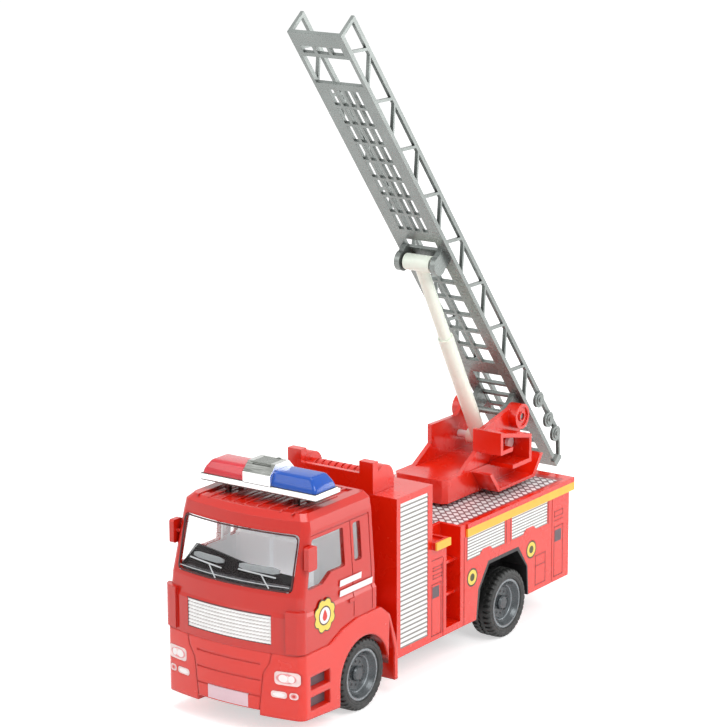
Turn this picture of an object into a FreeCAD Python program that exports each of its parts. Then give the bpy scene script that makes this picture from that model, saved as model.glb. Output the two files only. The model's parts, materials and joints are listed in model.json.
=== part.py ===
"""Toy fire engine with a turntable ladder, in millimetres.

The front faces -Y, the left side is +X and +Z is up. The origin lies on the ground under the
middle of the box round the whole toy, with its ladder raised as it stands on show.
"""
import FreeCAD, Part
import math
import os

from FreeCAD import Vector

# Running gear
front_overhang = 35.6
wheelbase = 82.8
rear_overhang = 38.2
tyre_radius = 11.56
tyre_width = 8.0
rim_radius = 8.3
tyre_wall_bulge = 0.5
axle_end_gap = 1.2
axle_radius = 1.5
axle_clearance = 0.06
arch_clearance = 1.3
rim_lip = 0.95
rim_dish_depth = 2.4
rim_step_depth = 1.1
rim_step_radius = 6.5
rim_disc_radius = 5.0
rim_face_thickness = 1.6
hub_radius = 2.4
hub_height = 1.3
hub_chamfer = 0.5

# Body behind the cab
body_half_width = 25.4
body_bottom = 11.3
deck_top = 45.4
block_top = 63.4
block_gap = 10.5
block_length = 19.8
slot_panel_length = 8.0
recess_length = 8.2
recess_depth = 7.9
recess_sill = 2.3
shelf_thickness = 1.0
shelf_depth = 5.6
lower_shelf_rise = 9.3
upper_shelf_rise = 20.1
column_top = 41.8
column_cap_height = 2.5
column_cap_overhang = 1.8
column_cap_pocket = 0.8
column_cap_rim = 1.2
handle_face_thickness = 0.6
shutter_depth = 0.6
shutter_backing = 0.25
shutter_face_gap = 0.05
shutter_margin = 2.0
shutter_rear_margin = 2.5
block_shutter_bottom = 14.0
block_shutter_top = 61.4
block_slats = 31
rear_shutter_bottom = 32.9
rear_slats = 8
rear_shutter_start = 4.2
rear_shutter_length = 22.4
rear_shutter_gap = 4.2
handle_hump_length = 8.0
handle_hump_top_length = 4.4
handle_hump_height = 1.5
seam_width = 0.35
seam_depth = 0.25
column_seam = 6.0
column_seam_top = 37.8
rear_panel_seam = 11.0
deck_plate_thickness = 0.4
deck_border = 1.2
deck_rear_border = 4.0
rim_height = 1.6
band_height = 2.8
band_overhang = 0.6
band_rear_overhang = 2.4
band_seat = 1.0
band_start = 3.4
arch_front_reach = 19.2
arch_front_shoulder = 18.0
arch_front_top = 12.0
arch_rear_top = 6.3
arch_rear_shoulder = 12.1
arch_rear_reach = 12.8
arch_shoulder_height = 21.4
arch_top_height = 29.6
arch_wall = 1.2
arch_foot_wall = 0.6

# Cab
cab_length = 43.3
cab_wall = 1.5
cab_bow = 3.6
cab_corner_radius = 1.8
cab_rear_corner_radius = 1.0
cab_seam = 26.7
cab_crease = 38.2
cab_crease_height = 1.2
cab_crease_inset = 0.4
cab_belt = 44.5
cab_belt_set_back = 1.2
cab_gutter = 63.5
cab_gutter_inset = 1.6
cab_gutter_set_back = 5.9
cab_edge = 66.7
cab_edge_inset = 2.2
cab_edge_set_back = 6.4
cab_roof = 68.5
cab_roof_inset = 4.0
cab_roof_set_back = 8.6
cab_rear_lean = 1.0
roof_pocket_depth = 0.5
roof_pocket_half_width = 18.0
roof_pocket_front = 13.4
roof_pocket_rear = 40.8
roof_rib_width = 0.8
roof_rib_pitch = 6.0
roof_ribs = 6
windscreen_bottom = 45.7
windscreen_top = 62.8
windscreen_side_pillar = 3.7
glass_recess = 0.35
window_corner = 0.7
side_window_bottom = 46.3
side_window_step = 48.9
side_window_top = 61.0
door_window_front = 7.7
door_window_top_front = 11.3
door_window_rear = 27.2
door_window_step_front = 15.5
door_window_step_rear = 20.0
quarter_window_front = 32.2
quarter_window_rear = 36.0
door_seam = 30.8
rear_seam = 40.5
gutter_seam_front = 11.0
door_seam_bottom = 32.0
cab_seam_width = 0.4
cab_seam_depth = 0.25
door_handle_station = 28.0
door_handle_height = 37.0
door_handle_length = 2.6
door_handle_rise = 1.2
door_handle_reach = 0.5
fairing_inner = 4.6
fairing_rear = 5.6
fairing_bottom = 27.4
fairing_top = 40.6
fairing_reach = 0.7
grille_side_gap = 9.6
grille_bottom = 29.3
grille_top = 38.3
grille_depth = 0.8
grille_slats = 8
mirror_front = 6.2
mirror_length = 4.4
mirror_height = 7.4
mirror_bottom = 52.6
mirror_thickness = 1.7
mirror_reach = 1.0
mirror_corner = 0.75
mirror_arm_radius = 0.6
seat_floor_thickness = 1.2
dash_height = 19.0
dash_length = 7.0
seat_length = 9.0
seat_height = 11.0
seat_back_height = 22.0
seat_back_thickness = 3.0
seat_width = 13.0
seat_start = 17.0

# Bumper and front wings
bumper_bottom = 5.8
bumper_thickness = 6.0
bumper_overhang = 0.5
bumper_panel_top = 16.1
bumper_panel_bottom = 11.8
bumper_panel_low = 8.3
bumper_panel_knee = 13.2
bumper_panel_knee_height = 20.0
bumper_panel_shoulder = 15.4
bumper_panel_shoulder_height = 23.5
bumper_chin_height = 8.0
bumper_ledge_half_width = 12.0
bumper_ledges = 3
bumper_ledge_top = 22.5
bumper_ledge_pitch = 5.15
bumper_ledge_height = 0.5
bumper_seam_depth = 0.35
wing_depth = 10.4
wing_start = 17.7
wing_rise_end = 24.5
wing_top_start = 32.0
wing_top_end = 44.5
wing_shoulder = 49.2
wing_rear = 50.9
wing_top = 31.2
wing_shoulder_height = 27.6
wing_knee_height = 15.4
wing_bottom = 5.1
wing_flap_thickness = 1.9
step_front = 7.5
step_length = 10.0
step_height = 4.3
step_depth = 8.0
lower_step_bottom = 8.5
upper_step_bottom = 15.0
lamp_height = 4.2
lamp_width = 8.2
lamp_centre_height = 19.3
lamp_side_gap = 4.5
lamp_depth = 1.0
lamp_corner = 1.2
fog_width = 5.2
fog_height = 2.1
fog_centre_height = 14.0
fog_side_gap = 7.2
fog_round_width = 2.8
fog_round_side_gap = 2.4
fog_corner = 0.9
number_plate_width = 15.3
number_plate_height = 4.2
number_plate_centre_height = 10.4
number_plate_thickness = 0.5

# Light bar
lightbar_side_gap = 3.2
lightbar_front = 15.8
lightbar_length = 12.6
lightbar_rise = 2.6
lightbar_base_thickness = 2.2
lightbar_lip = 0.5
lens_height = 4.5
lens_inset = 0.7
lens_start = 5.2
lens_taper = 2.2
lens_round = 0.8
lens_shoulder = 2.4
lightbar_centre_height = 6.2
lightbar_centre_chamfer = 3.0
lightbar_post_radius = 1.0
lightbar_post_x = 13.0
lightbar_post_inset = 3.1

# Ladder rests on the tall block
rest_inner = 11.2
rest_width = 5.2
rest_post_length = 2.9
rest_post_rise = 10.1
saddle_radius = 5.0
saddle_behind = 5.0
roller_radius = 3.0
roller_groove = 0.8
roller_depth = 0.6
roller_ribs = 9
roller_gap = 0.1
rest_wall_rise = 6.1
rest_wall_length = 1.6

# Base plate
chassis_bottom = 8.6
chassis_plate_thickness = 1.6
chassis_wing_gap = 0.6
chassis_block_top = 16.0
chassis_block_length = 9.0

# Turntable
yaw_behind_axle = 7.24
turntable_gap = 0.12
turntable_disc_radius = 9.0
turntable_half_width = 10.4
turntable_bottom = 46.6
turntable_floor = 54.5
turntable_front = 22.1
turntable_rear = 24.0
turntable_wall = 1.6
turntable_wall_inset = 0.6
turntable_corner = 1.5
turntable_wall_start = 12.2
turntable_wall_rise = 60.7
turntable_wall_break = 1.3
turntable_wall_top = 66.3
turntable_pin_radius = 3.0
turntable_pin_length = 5.0
turntable_pin_clearance = 0.06
ear_reach = 21.0
ear_height = 67.3
ear_radius = 4.3
ear_thickness = 2.4
ear_ring = 0.5
ear_hole_radius = 1.2
tray_depth = 7.2
tray_wall = 1.0
tray_bottom = 47.1
tray_top = 54.2
tray_front = 6.7
tray_floor_front = 1.2
tray_floor_rear = 21.2
tray_rear = 26.6
guard_depth = 8.8
guard_front = 2.5
guard_box_length = 7.5
guard_bottom = 60.0
guard_top = 67.7
guard_wall = 1.4
guard_wing_rear = 16.6
guard_wing_top = 63.4
guard_floor_bottom = 53.8
guard_floor_front = 5.0

# Ladder, measured along its floor from the tip and up from the underside of its floor
ladder_rest_angle = 52.15
ladder_length = 206.6
ladder_half_width = 10.0
ladder_wall = 1.2
ladder_floor = 1.2
ladder_height = 9.0
chord_height = 1.5
flange_width = 3.8
truss_first_node = 13.9
truss_pitch = 21.25
truss_nodes = 8
truss_spread_up = 6.6
truss_spread_down = 8.8
truss_gap = 1.4
strut_width = 1.2
end_plate_length = 10.0
end_window_start = 5.5
end_window_length = 3.0
end_windows = 3
end_window_gap = 1.2
floor_opening_start = 21.5
first_grid_start = 23.5
first_grid_rows = 8
first_grid_columns = 4
first_grid_end = 88.0
bridge_length = 4.0
bridge_gap = 4.0
second_grid_start = 104.0
second_grid_end = 153.0
second_grid_rows = 6
second_grid_columns = 2
grid_bar = 1.1
foot_grid_start = 158.0
foot_grid_end = 200.0
foot_grid_rows = 7
chord_bend = 198.0
foot_height = 4.3
hinge_station = 170.9
hinge_drop = 6.4
hinge_lug_radius = 3.4
hinge_lug_thickness = 2.0
lug_waist = 0.8
hinge_pin_radius = 1.1
hinge_side_gap = 0.4
cylinder_station = 98.2
cylinder_drop = 4.2
cylinder_lug_radius = 3.3
cylinder_lug_inner = 5.9
cylinder_lug_thickness = 2.0
pulley_radius = 2.7
pulley_thickness = 1.0
first_pulley_station = 177.3
middle_pulley_station = 187.9
last_pulley_station = 195.5
pulley_height = 6.0

# Lift cylinder
cylinder_foot_reach = 14.2
cylinder_foot_height = 59.9
sleeve_length = 44.0
sleeve_radius = 2.65
sleeve_bore = 2.2
rod_radius = 2.1
rod_tail = 12.0
rod_head_radius = 2.7
rod_head_length = 10.0
sleeve_foot_radius = 2.6
sleeve_foot_length = 8.0
rivet_radius = 1.3
rivet_head_radius = 1.85
rivet_head_height = 1.1
rivet_boss_radius = 2.4
rivet_boss_height = 1.0
rivet_clearance = 0.08

overrun = 1.0

# Worked out places
ladder_angle = math.radians(ladder_rest_angle)
along = Vector(0, math.cos(ladder_angle), -math.sin(ladder_angle))
away = Vector(0, math.sin(ladder_angle), math.cos(ladder_angle))
yaw_station = front_overhang + wheelbase + yaw_behind_axle
foot_reach = (along * (ladder_length - hinge_station) + away * (foot_height + hinge_drop)).y
overall_length = yaw_station + ear_reach + foot_reach
front_y = -overall_length / 2

front_axle_y = front_y + front_overhang
rear_axle_y = front_axle_y + wheelbase
body_rear_y = rear_axle_y + rear_overhang
cab_rear_y = front_y + cab_length
block_front_y = cab_rear_y + block_gap
block_rear_y = block_front_y + block_length
recess_front_y = block_rear_y + slot_panel_length
recess_rear_y = recess_front_y + recess_length
yaw_y = front_y + yaw_station
ear = Vector(0, yaw_y + ear_reach, ear_height)
cylinder_foot = Vector(0, yaw_y + cylinder_foot_reach, cylinder_foot_height)
wheel_outer_x = body_half_width
wheel_inner_x = wheel_outer_x - tyre_width
chassis_half_width = body_half_width - wing_depth - chassis_wing_gap
saddle_height = block_top + roller_radius + roller_gap
saddle_y = block_front_y + rest_post_length / 2 + saddle_behind
lightbar_half_width = body_half_width - lightbar_side_gap
lightbar_bottom = cab_roof + lightbar_rise
lightbar_y = front_y + lightbar_front
windscreen_half_width = body_half_width - windscreen_side_pillar
grille_half_width = body_half_width - grille_side_gap
rear_shutter_y = recess_rear_y + rear_shutter_start
rear_shutter_top = deck_top - rim_height - band_height


def box(x0, x1, y0, y1, z0, z1):
    """Box between two corners."""
    return Part.makeBox(x1 - x0, y1 - y0, z1 - z0, Vector(x0, y0, z0))


def face_of(points):
    """Flat face inside a closed run of points."""
    return Part.Face(Part.makePolygon(points + points[:1]))


def across(points, x0, x1):
    """Side outline of (y, z) points made solid from x0 to x1."""
    return face_of([Vector(x0, y, z) for y, z in points]).extrude(Vector(x1 - x0, 0, 0))


def lengthways(points, y0, y1):
    """Front outline of (x, z) points made solid from y0 to y1."""
    return face_of([Vector(x, y0, z) for x, z in points]).extrude(Vector(0, y1 - y0, 0))


def upright(points, z0, z1):
    """Plan outline of (x, y) points made solid from z0 to z1."""
    return face_of([Vector(x, y, z0) for x, y in points]).extrude(Vector(0, 0, z1 - z0))


def cross_rod(centre, radius, x0, x1):
    """Round bar along X."""
    return Part.makeCylinder(radius, x1 - x0, Vector(x0, centre.y, centre.z), Vector(1, 0, 0))


def other_side(shape):
    """The same shape on the other side of the vehicle."""
    return shape.mirror(Vector(0, 0, 0), Vector(1, 0, 0))


def both_sides(shape):
    return [shape, other_side(shape)]


def rounded(shape, radius, direction):
    """The shape with its edges along a direction rounded."""
    edges = [edge for edge in shape.Edges
             if abs(edge.tangentAt(edge.FirstParameter).dot(direction)) > 0.99]
    return shape.makeFillet(radius, edges)


def joined(shapes):
    """Shapes fused to one solid with clean faces."""
    result = shapes[0].multiFuse(shapes[1:]) if len(shapes) > 1 else shapes[0]
    return result.removeSplitter()


def on_ladder(station, height):
    """Point of the ladder at a station from the tip and a height over its underside."""
    return ear + along * (station - hinge_station) + away * (height + hinge_drop)


def ladder_prism(points, x0, x1):
    """Outline of (station, height) points on the ladder made solid from x0 to x1."""
    corners = [on_ladder(station, height) + Vector(x0, 0, 0) for station, height in points]
    return face_of(corners).extrude(Vector(x1 - x0, 0, 0))


def ladder_box(x0, x1, start, end, low, high):
    return ladder_prism([(start, low), (end, low), (end, high), (start, high)], x0, x1)


# Cab
def cab_section(height, side_inset, set_back, rear_lean, inset):
    """Plan outline of the cab at one height, with a bowed front and round corners."""
    half = body_half_width - side_inset - inset
    bow = cab_bow * half / body_half_width
    tip = front_y + set_back + inset
    corner = tip + bow
    rear = cab_rear_y - rear_lean - inset
    front_round = cab_corner_radius
    rear_round = cab_rear_corner_radius
    bow_at_round = bow * ((half - front_round) / half) ** 2
    diagonal = math.sqrt(0.5)

    def bend(start, middle, end):
        return Part.Arc(start, middle, end).toShape()

    def line(start, end):
        return Part.LineSegment(start, end).toShape()

    def at(x, y):
        return Vector(x, y, height)

    front_left = at(half - front_round, tip + bow_at_round)
    left_front = at(half, corner + front_round)
    left_rear = at(half, rear - rear_round)
    rear_left = at(half - rear_round, rear)
    front_mid = at(half - front_round * (1 - diagonal), corner + front_round * (1 - diagonal))
    rear_mid = at(half - rear_round * (1 - diagonal), rear - rear_round * (1 - diagonal))

    def across_centre(point):
        return Vector(-point.x, point.y, point.z)

    edges = [
        bend(across_centre(front_left), at(0, tip), front_left),
        bend(front_left, front_mid, left_front),
        line(left_front, left_rear),
        bend(left_rear, rear_mid, rear_left),
        line(rear_left, across_centre(rear_left)),
        bend(across_centre(rear_left), across_centre(rear_mid), across_centre(left_rear)),
        line(across_centre(left_rear), across_centre(left_front)),
        bend(across_centre(left_front), across_centre(front_mid), across_centre(front_left)),
    ]
    return Part.Wire(edges)


def cab_volume(inset):
    """Form of the cab, drawn in by an inset on every side but the bottom."""
    crease_top = cab_crease + cab_crease_height
    crease = cab_crease_inset
    sections = [
        cab_section(cab_seam, 0, 0, 0, inset),
        cab_section(cab_crease, 0, 0, 0, inset),
        cab_section(crease_top, crease, crease, crease, inset),
        cab_section(cab_belt, crease, cab_belt_set_back, crease, inset),
        cab_section(cab_gutter, cab_gutter_inset, cab_gutter_set_back, crease, inset),
        cab_section(cab_edge - inset, cab_edge_inset, cab_edge_set_back, crease, inset),
        cab_section(cab_roof - inset, cab_roof_inset, cab_roof_set_back, cab_rear_lean, inset),
    ]
    return Part.makeLoft(sections, True, True)


def cab_hollow():
    """Air space of the cab, without the crease of its outside."""
    crease = cab_crease_inset
    sections = [
        cab_section(cab_seam, 0, 0, 0, cab_wall),
        cab_section(cab_belt, crease, cab_belt_set_back, crease, cab_wall),
        cab_section(cab_gutter, cab_gutter_inset, cab_gutter_set_back, crease, cab_wall),
        cab_section(cab_roof - cab_wall, cab_edge_inset, cab_edge_set_back, crease, cab_wall),
    ]
    return Part.makeLoft(sections, True, True)


def wing_outline():
    """Side outline of the space under the cab that the bumper and wings fill."""
    return [
        (front_y - overrun, cab_seam),
        (front_y + wing_start, cab_seam),
        (front_y + wing_rise_end, (cab_seam + 2 * wing_top) / 3),
        (front_y + wing_top_start, wing_top),
        (front_y + wing_top_end, wing_top),
        (front_y + wing_shoulder, wing_shoulder_height),
        (block_front_y, wing_knee_height),
        (block_front_y, wing_bottom),
        (front_y - overrun, wing_bottom),
    ]


def windscreen_opening():
    half = windscreen_half_width
    outline = [(-half, windscreen_bottom), (half, windscreen_bottom), (half, windscreen_top),
               (-half, windscreen_top)]
    opening = lengthways(outline, front_y - overrun, front_y + seat_start)
    return rounded(opening, cab_wall, Vector(0, 1, 0))


def side_window_openings():
    inner = body_half_width - cab_gutter_inset - cab_wall * 2
    outer = body_half_width + overrun
    door = across([
        (front_y + door_window_front, side_window_bottom),
        (front_y + door_window_step_front, side_window_bottom),
        (front_y + door_window_step_rear, side_window_step),
        (front_y + door_window_rear, side_window_step),
        (front_y + door_window_rear, side_window_top),
        (front_y + door_window_top_front, side_window_top),
    ], inner, outer)
    quarter = box(inner, outer, front_y + quarter_window_front, front_y + quarter_window_rear,
                  side_window_step, side_window_top)
    openings = []
    for opening in (door, quarter):
        openings += both_sides(rounded(opening, window_corner, Vector(1, 0, 0)))
    return openings


def grille_recess():
    outline = [(-grille_half_width, grille_bottom), (grille_half_width, grille_bottom),
               (grille_half_width, grille_top), (-grille_half_width, grille_top)]
    return lengthways(outline, front_y - overrun, front_y + cab_wall * 2)


def cab_fairings():
    """Upright trims round the front corners."""
    outside = Part.Face(cab_section(fairing_bottom, 0, 0, 0, -fairing_reach))
    height = fairing_top - fairing_bottom
    corner = box(body_half_width - fairing_inner, body_half_width + overrun, front_y - overrun,
                 front_y + fairing_rear, fairing_bottom, fairing_top)
    trim = outside.extrude(Vector(0, 0, height)).common(corner)
    return both_sides(trim)


def cab_seams():
    """Slots for the door's rear edge, the rear corner and the gutter, on both sides."""
    half = cab_seam_width / 2
    outer = body_half_width + overrun
    inner = body_half_width - cab_gutter_inset - cab_wall
    door = front_y + door_seam
    rear = front_y + rear_seam
    gutter = (side_window_top + cab_gutter) / 2
    slots = [
        box(inner, outer, door - half, door + half, door_seam_bottom, gutter),
        box(inner, outer, rear - half, rear + half, door_seam_bottom, gutter),
        box(inner, outer, front_y + gutter_seam_front, rear + half, gutter - half, gutter + half),
    ]
    slot = slots[0].multiFuse(slots[1:])
    return both_sides(slot)


def roof_pocket():
    """Shallow pocket in the roof with ribs along it."""
    high = cab_roof + overrun
    low = cab_roof - roof_pocket_depth
    front = front_y + roof_pocket_front
    rear = front_y + roof_pocket_rear
    pocket = box(-roof_pocket_half_width, roof_pocket_half_width, front, rear, low, high)
    for index in range(roof_ribs):
        x = roof_rib_pitch * (index - (roof_ribs - 1) / 2)
        rib = box(x - roof_rib_width / 2, x + roof_rib_width / 2, front, rear, low, high)
        pocket = pocket.cut(rib)
    return pocket


def cab_shell():
    outside = cab_volume(0)
    under_skin = cab_volume(cab_seam_depth)
    shell = joined([outside] + cab_fairings()).cut(cab_hollow())
    shell = shell.cut(across(wing_outline(), -body_half_width - overrun, body_half_width + overrun))
    openings = [windscreen_opening(), roof_pocket()] + side_window_openings()
    for slot in cab_seams():
        openings.append(slot.cut(under_skin))
    openings.append(outside.cut(cab_volume(grille_depth)).common(grille_recess()))
    for opening in openings:
        shell = shell.cut(opening)
    handle = box(body_half_width - cab_wall / 2, body_half_width + door_handle_reach,
                 front_y + door_handle_station, front_y + door_handle_station + door_handle_length,
                 door_handle_height, door_handle_height + door_handle_rise)
    return joined([shell] + both_sides(handle))


def panes(openings):
    layer = cab_volume(glass_recess).cut(cab_hollow())
    return Part.makeCompound([layer.common(opening) for opening in openings])


def grille():
    """Slatted panel in a recess of the cab's front."""
    middle = cab_volume(grille_depth / 2)
    back = middle.cut(cab_volume(grille_depth)).common(grille_recess())
    front = cab_volume(grille_depth / 4).cut(middle).common(grille_recess())
    pitch = (grille_top - grille_bottom) / grille_slats
    slats = []
    for index in range(grille_slats):
        centre = grille_bottom + pitch * (index + 1 / 2)
        band = box(-grille_half_width, grille_half_width, front_y - overrun, front_y + cab_wall * 2,
                   centre - pitch / 3, centre + pitch / 3)
        slats.append(front.common(band))
    return joined([back] + slats)


def cab_interior():
    """Floor, dashboard, two front seats and a rear bench in one moulding."""
    inside = cab_hollow()
    floor_top = wing_top + seat_floor_thickness
    floor = box(-body_half_width, body_half_width, front_y, cab_rear_y, wing_top, floor_top)
    dash_points = [
        (front_y, floor_top),
        (front_y + dash_length + cab_wall, floor_top),
        (front_y + dash_length, wing_top + dash_height - cab_wall * 2),
        (front_y, wing_top + dash_height - cab_wall * 3),
    ]
    dash = across(dash_points, -body_half_width, body_half_width)
    seats = []
    for side in (-1, 1):
        centre = side * (seat_width + cab_wall) / 2
        left = centre - seat_width / 2
        right = centre + seat_width / 2
        start = front_y + seat_start
        seats.append(box(left, right, start, start + seat_length, floor_top,
                         floor_top + seat_height))
        seats.append(box(left, right, start + seat_length - seat_back_thickness,
                         start + seat_length, floor_top, floor_top + seat_back_height))
    whole = joined([floor, dash] + seats)
    return whole.common(inside).removeSplitter()


def mirrors():
    arm_height = mirror_bottom + mirror_height / 2
    inner = body_half_width - cab_gutter_inset
    outer = body_half_width + mirror_reach
    middle = front_y + mirror_front + mirror_length / 2
    head = box(outer - mirror_thickness, outer, front_y + mirror_front,
               front_y + mirror_front + mirror_length, mirror_bottom, mirror_bottom + mirror_height)
    head = rounded(head, mirror_corner, Vector(1, 0, 0))
    arm = Part.makeCylinder(mirror_arm_radius, outer - mirror_thickness / 2 - inner + cab_wall,
                            Vector(inner - cab_wall, middle, arm_height), Vector(1, 0, 0))
    mirror = head.fuse(arm).cut(cab_volume(0))
    return Part.makeCompound(both_sides(mirror))


# Bumper
def bumper_plan(inset):
    """Plan of the bumper and wings: wider than the cab, and as far forward."""
    section = cab_section(wing_bottom, 0, bumper_overhang, -block_gap, inset - bumper_overhang)
    return Part.Face(section)


def bumper_volume():
    """Plan of the bumper and wings made solid, cut to the side outline."""
    plan = bumper_plan(0)
    block = plan.extrude(Vector(0, 0, wing_top))
    return block.common(across(wing_outline(), -body_half_width - overrun,
                               body_half_width + overrun))


def wheel_opening(axle_y, radius):
    centre = Vector(0, axle_y, tyre_radius)
    return cross_rod(centre, radius, body_half_width - wing_depth, body_half_width + overrun)


def bumper_skin(depth):
    """Outer layer of the bumper, as deep as given."""
    return bumper_plan(0).cut(bumper_plan(depth)).extrude(Vector(0, 0, cab_seam - wing_bottom))


def lamp(width, height, side_gap, centre_height, corner):
    """Rounded lamp let into the bumper's left end."""
    centre = body_half_width - side_gap
    shape = box(centre - width / 2, centre + width / 2, front_y - overrun, front_y + bumper_thickness,
                centre_height - height / 2, centre_height + height / 2)
    return bumper_skin(lamp_depth).common(rounded(shape, corner, Vector(0, 1, 0)))


def front_lights():
    head = lamp(lamp_width, lamp_height, lamp_side_gap, lamp_centre_height, lamp_corner)
    fog = lamp(fog_width, fog_height, fog_side_gap, fog_centre_height, fog_corner)
    round_fog = lamp(fog_round_width, fog_height, fog_round_side_gap, fog_centre_height, fog_corner)
    return both_sides(head) + both_sides(fog) + both_sides(round_fog)


def number_plate():
    half = number_plate_width / 2
    low = number_plate_centre_height - number_plate_height / 2
    shape = box(-half, half, front_y - overrun, front_y + bumper_thickness, low,
                low + number_plate_height)
    return bumper_skin(number_plate_thickness).common(shape)


def bumper_seams():
    """Slots for the middle panel's slanted sides and its ledges."""
    rear = front_y + bumper_thickness
    front = front_y - overrun
    width = seam_width
    edge = [(bumper_panel_top, cab_seam), (bumper_panel_shoulder, bumper_panel_shoulder_height),
            (bumper_panel_knee, bumper_panel_knee_height), (bumper_panel_bottom, bumper_panel_low)]
    slant = lengthways(edge + [(x - width, z) for x, z in reversed(edge)], front, rear)
    slots = both_sides(slant)
    for index in range(bumper_ledges):
        low = bumper_ledge_top - bumper_ledge_pitch * index
        slots.append(box(-bumper_ledge_half_width, bumper_ledge_half_width, front, rear, low,
                         low + bumper_ledge_height))
    return [slot.common(bumper_skin(bumper_seam_depth)) for slot in slots]


def front_bumper():
    body = bumper_volume()
    half = body_half_width
    inner = half - wing_depth
    low = wing_bottom - overrun
    middle = box(-inner, inner, front_y + bumper_thickness, block_front_y + overrun, low,
                 wing_top + overrun)
    chin = across([(front_y - overrun, low), (front_y + wing_start, low),
                   (front_y + wing_start + step_height, wing_bottom),
                   (front_y - overrun, bumper_bottom + (bumper_bottom - wing_bottom))],
                  -half - overrun, half + overrun)
    panel_foot = box(-bumper_panel_bottom, bumper_panel_bottom, front_y - overrun,
                     front_y + bumper_thickness + overrun, low, bumper_chin_height)
    body = body.cut(middle).cut(chin).cut(panel_foot)
    opening_radius = tyre_radius + arch_clearance
    flap = across([
        (front_axle_y, low),
        (front_axle_y + opening_radius, tyre_radius),
        (front_y + wing_rear - wing_flap_thickness, wing_shoulder_height - wing_flap_thickness),
        (block_front_y - wing_flap_thickness, wing_knee_height),
        (block_front_y - wing_flap_thickness, low),
    ], inner, half + overrun)
    arch = wheel_opening(front_axle_y, opening_radius)
    arch = arch.fuse(box(inner, half + overrun, front_axle_y - opening_radius,
                         front_axle_y + opening_radius, low, tyre_radius))
    arch = arch.fuse(flap)
    for cut in both_sides(arch):
        body = body.cut(cut)
    for bottom in (lower_step_bottom, upper_step_bottom):
        hole = box(half - step_depth, half + overrun, front_y + step_front,
                   front_y + step_front + step_length, bottom, bottom + step_height)
        for cut in both_sides(hole):
            body = body.cut(cut)
    for cut in front_lights() + [number_plate()] + bumper_seams():
        body = body.cut(cut)
    return body.removeSplitter()


# Light bar
def lightbar_lens(side):
    low = lightbar_bottom + lightbar_base_thickness
    shoulder = low + lens_shoulder
    top = low + lens_height
    end = lightbar_half_width - lens_inset
    front = lightbar_y + lens_inset
    rear = lightbar_y + lightbar_length - lens_inset
    long_way = lengthways([
        (side * lens_start, low), (side * end, low), (side * end, shoulder),
        (side * (end - lens_taper), top), (side * lens_start, top),
    ], front, rear)
    cross_way = across([
        (front, low), (rear, low), (rear, shoulder), (rear - lens_taper, top), (front + lens_taper, top),
        (front, shoulder),
    ], -lightbar_half_width, lightbar_half_width)
    lens = long_way.common(cross_way)
    edges = [edge for edge in lens.Edges if edge.BoundBox.ZMin > shoulder - overrun / 10]
    return lens.makeFillet(lens_round, [edge for edge in edges if abs(edge.CenterOfMass.x) > lens_start])


def lightbar_base():
    low = lightbar_bottom
    top = low + lightbar_base_thickness
    front = lightbar_y
    rear = front + lightbar_length
    half = lightbar_half_width
    lip = lightbar_lip
    tray = box(-half, half, front, rear, low + lip, top - lip)
    rails = [
        box(-half + lip, half - lip, front + lip, rear - lip, top - lip, top),
        box(-half + lip, half - lip, front + lip, rear - lip, low, low + lip),
    ]
    centre_top = top + lightbar_centre_height
    chamfer = lightbar_centre_chamfer
    centre = across([
        (front, top - lip), (rear, top - lip), (rear, centre_top - chamfer), (rear - chamfer, centre_top),
        (front + chamfer, centre_top), (front, centre_top - chamfer),
    ], -lens_start, lens_start)
    posts = []
    for x in (-lightbar_post_x, lightbar_post_x):
        for y in (front + lightbar_post_inset, rear - lightbar_post_inset):
            posts.append(Part.makeCylinder(lightbar_post_radius, low + lip - cab_edge,
                                           Vector(x, y, cab_edge)))
    base = joined([tray, centre] + rails + posts)
    return base.cut(cab_volume(0).cut(roof_pocket())).removeSplitter()


# Body
def rear_arch(inset, foot_inset, x0, x1):
    """Wheel arch with cut corners, open at the bottom, drawn in by its wall, less at its feet."""
    low = body_bottom - overrun
    return across([
        (rear_axle_y - arch_front_reach + foot_inset, low),
        (rear_axle_y - arch_front_shoulder + inset, arch_shoulder_height),
        (rear_axle_y - arch_front_top + inset / 2, arch_top_height - inset),
        (rear_axle_y + arch_rear_top - inset / 2, arch_top_height - inset),
        (rear_axle_y + arch_rear_shoulder - foot_inset, arch_shoulder_height),
        (rear_axle_y + arch_rear_reach - foot_inset, low),
    ], x0, x1)


def band_volume():
    half = body_half_width + band_overhang
    low = deck_top - rim_height - band_height
    high = deck_top - rim_height
    y0 = recess_rear_y + band_start
    y1 = body_rear_y + band_rear_overhang
    outer = box(-half, half, y0, y1, low, high)
    inner = box(-body_half_width + band_seat, body_half_width - band_seat, y0 - overrun,
                body_rear_y - band_seat, low - overrun, high + overrun)
    return outer.cut(inner)


def deck_plate_volume():
    half = body_half_width - deck_border
    rear = body_rear_y + band_rear_overhang - deck_rear_border
    plate = box(-half, half, block_rear_y, rear, deck_top - deck_plate_thickness, deck_top)
    niche_inner = body_half_width - recess_depth - deck_border
    for side in both_sides(box(niche_inner, half + overrun, block_rear_y, recess_rear_y + deck_border,
                               deck_top - deck_plate_thickness, deck_top)):
        plate = plate.cut(side)
    return plate


def turntable_socket():
    return Part.makeCylinder(turntable_pin_radius + turntable_pin_clearance,
                             turntable_pin_length + overrun,
                             Vector(0, yaw_y, deck_top - turntable_pin_length - turntable_gap))


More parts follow.
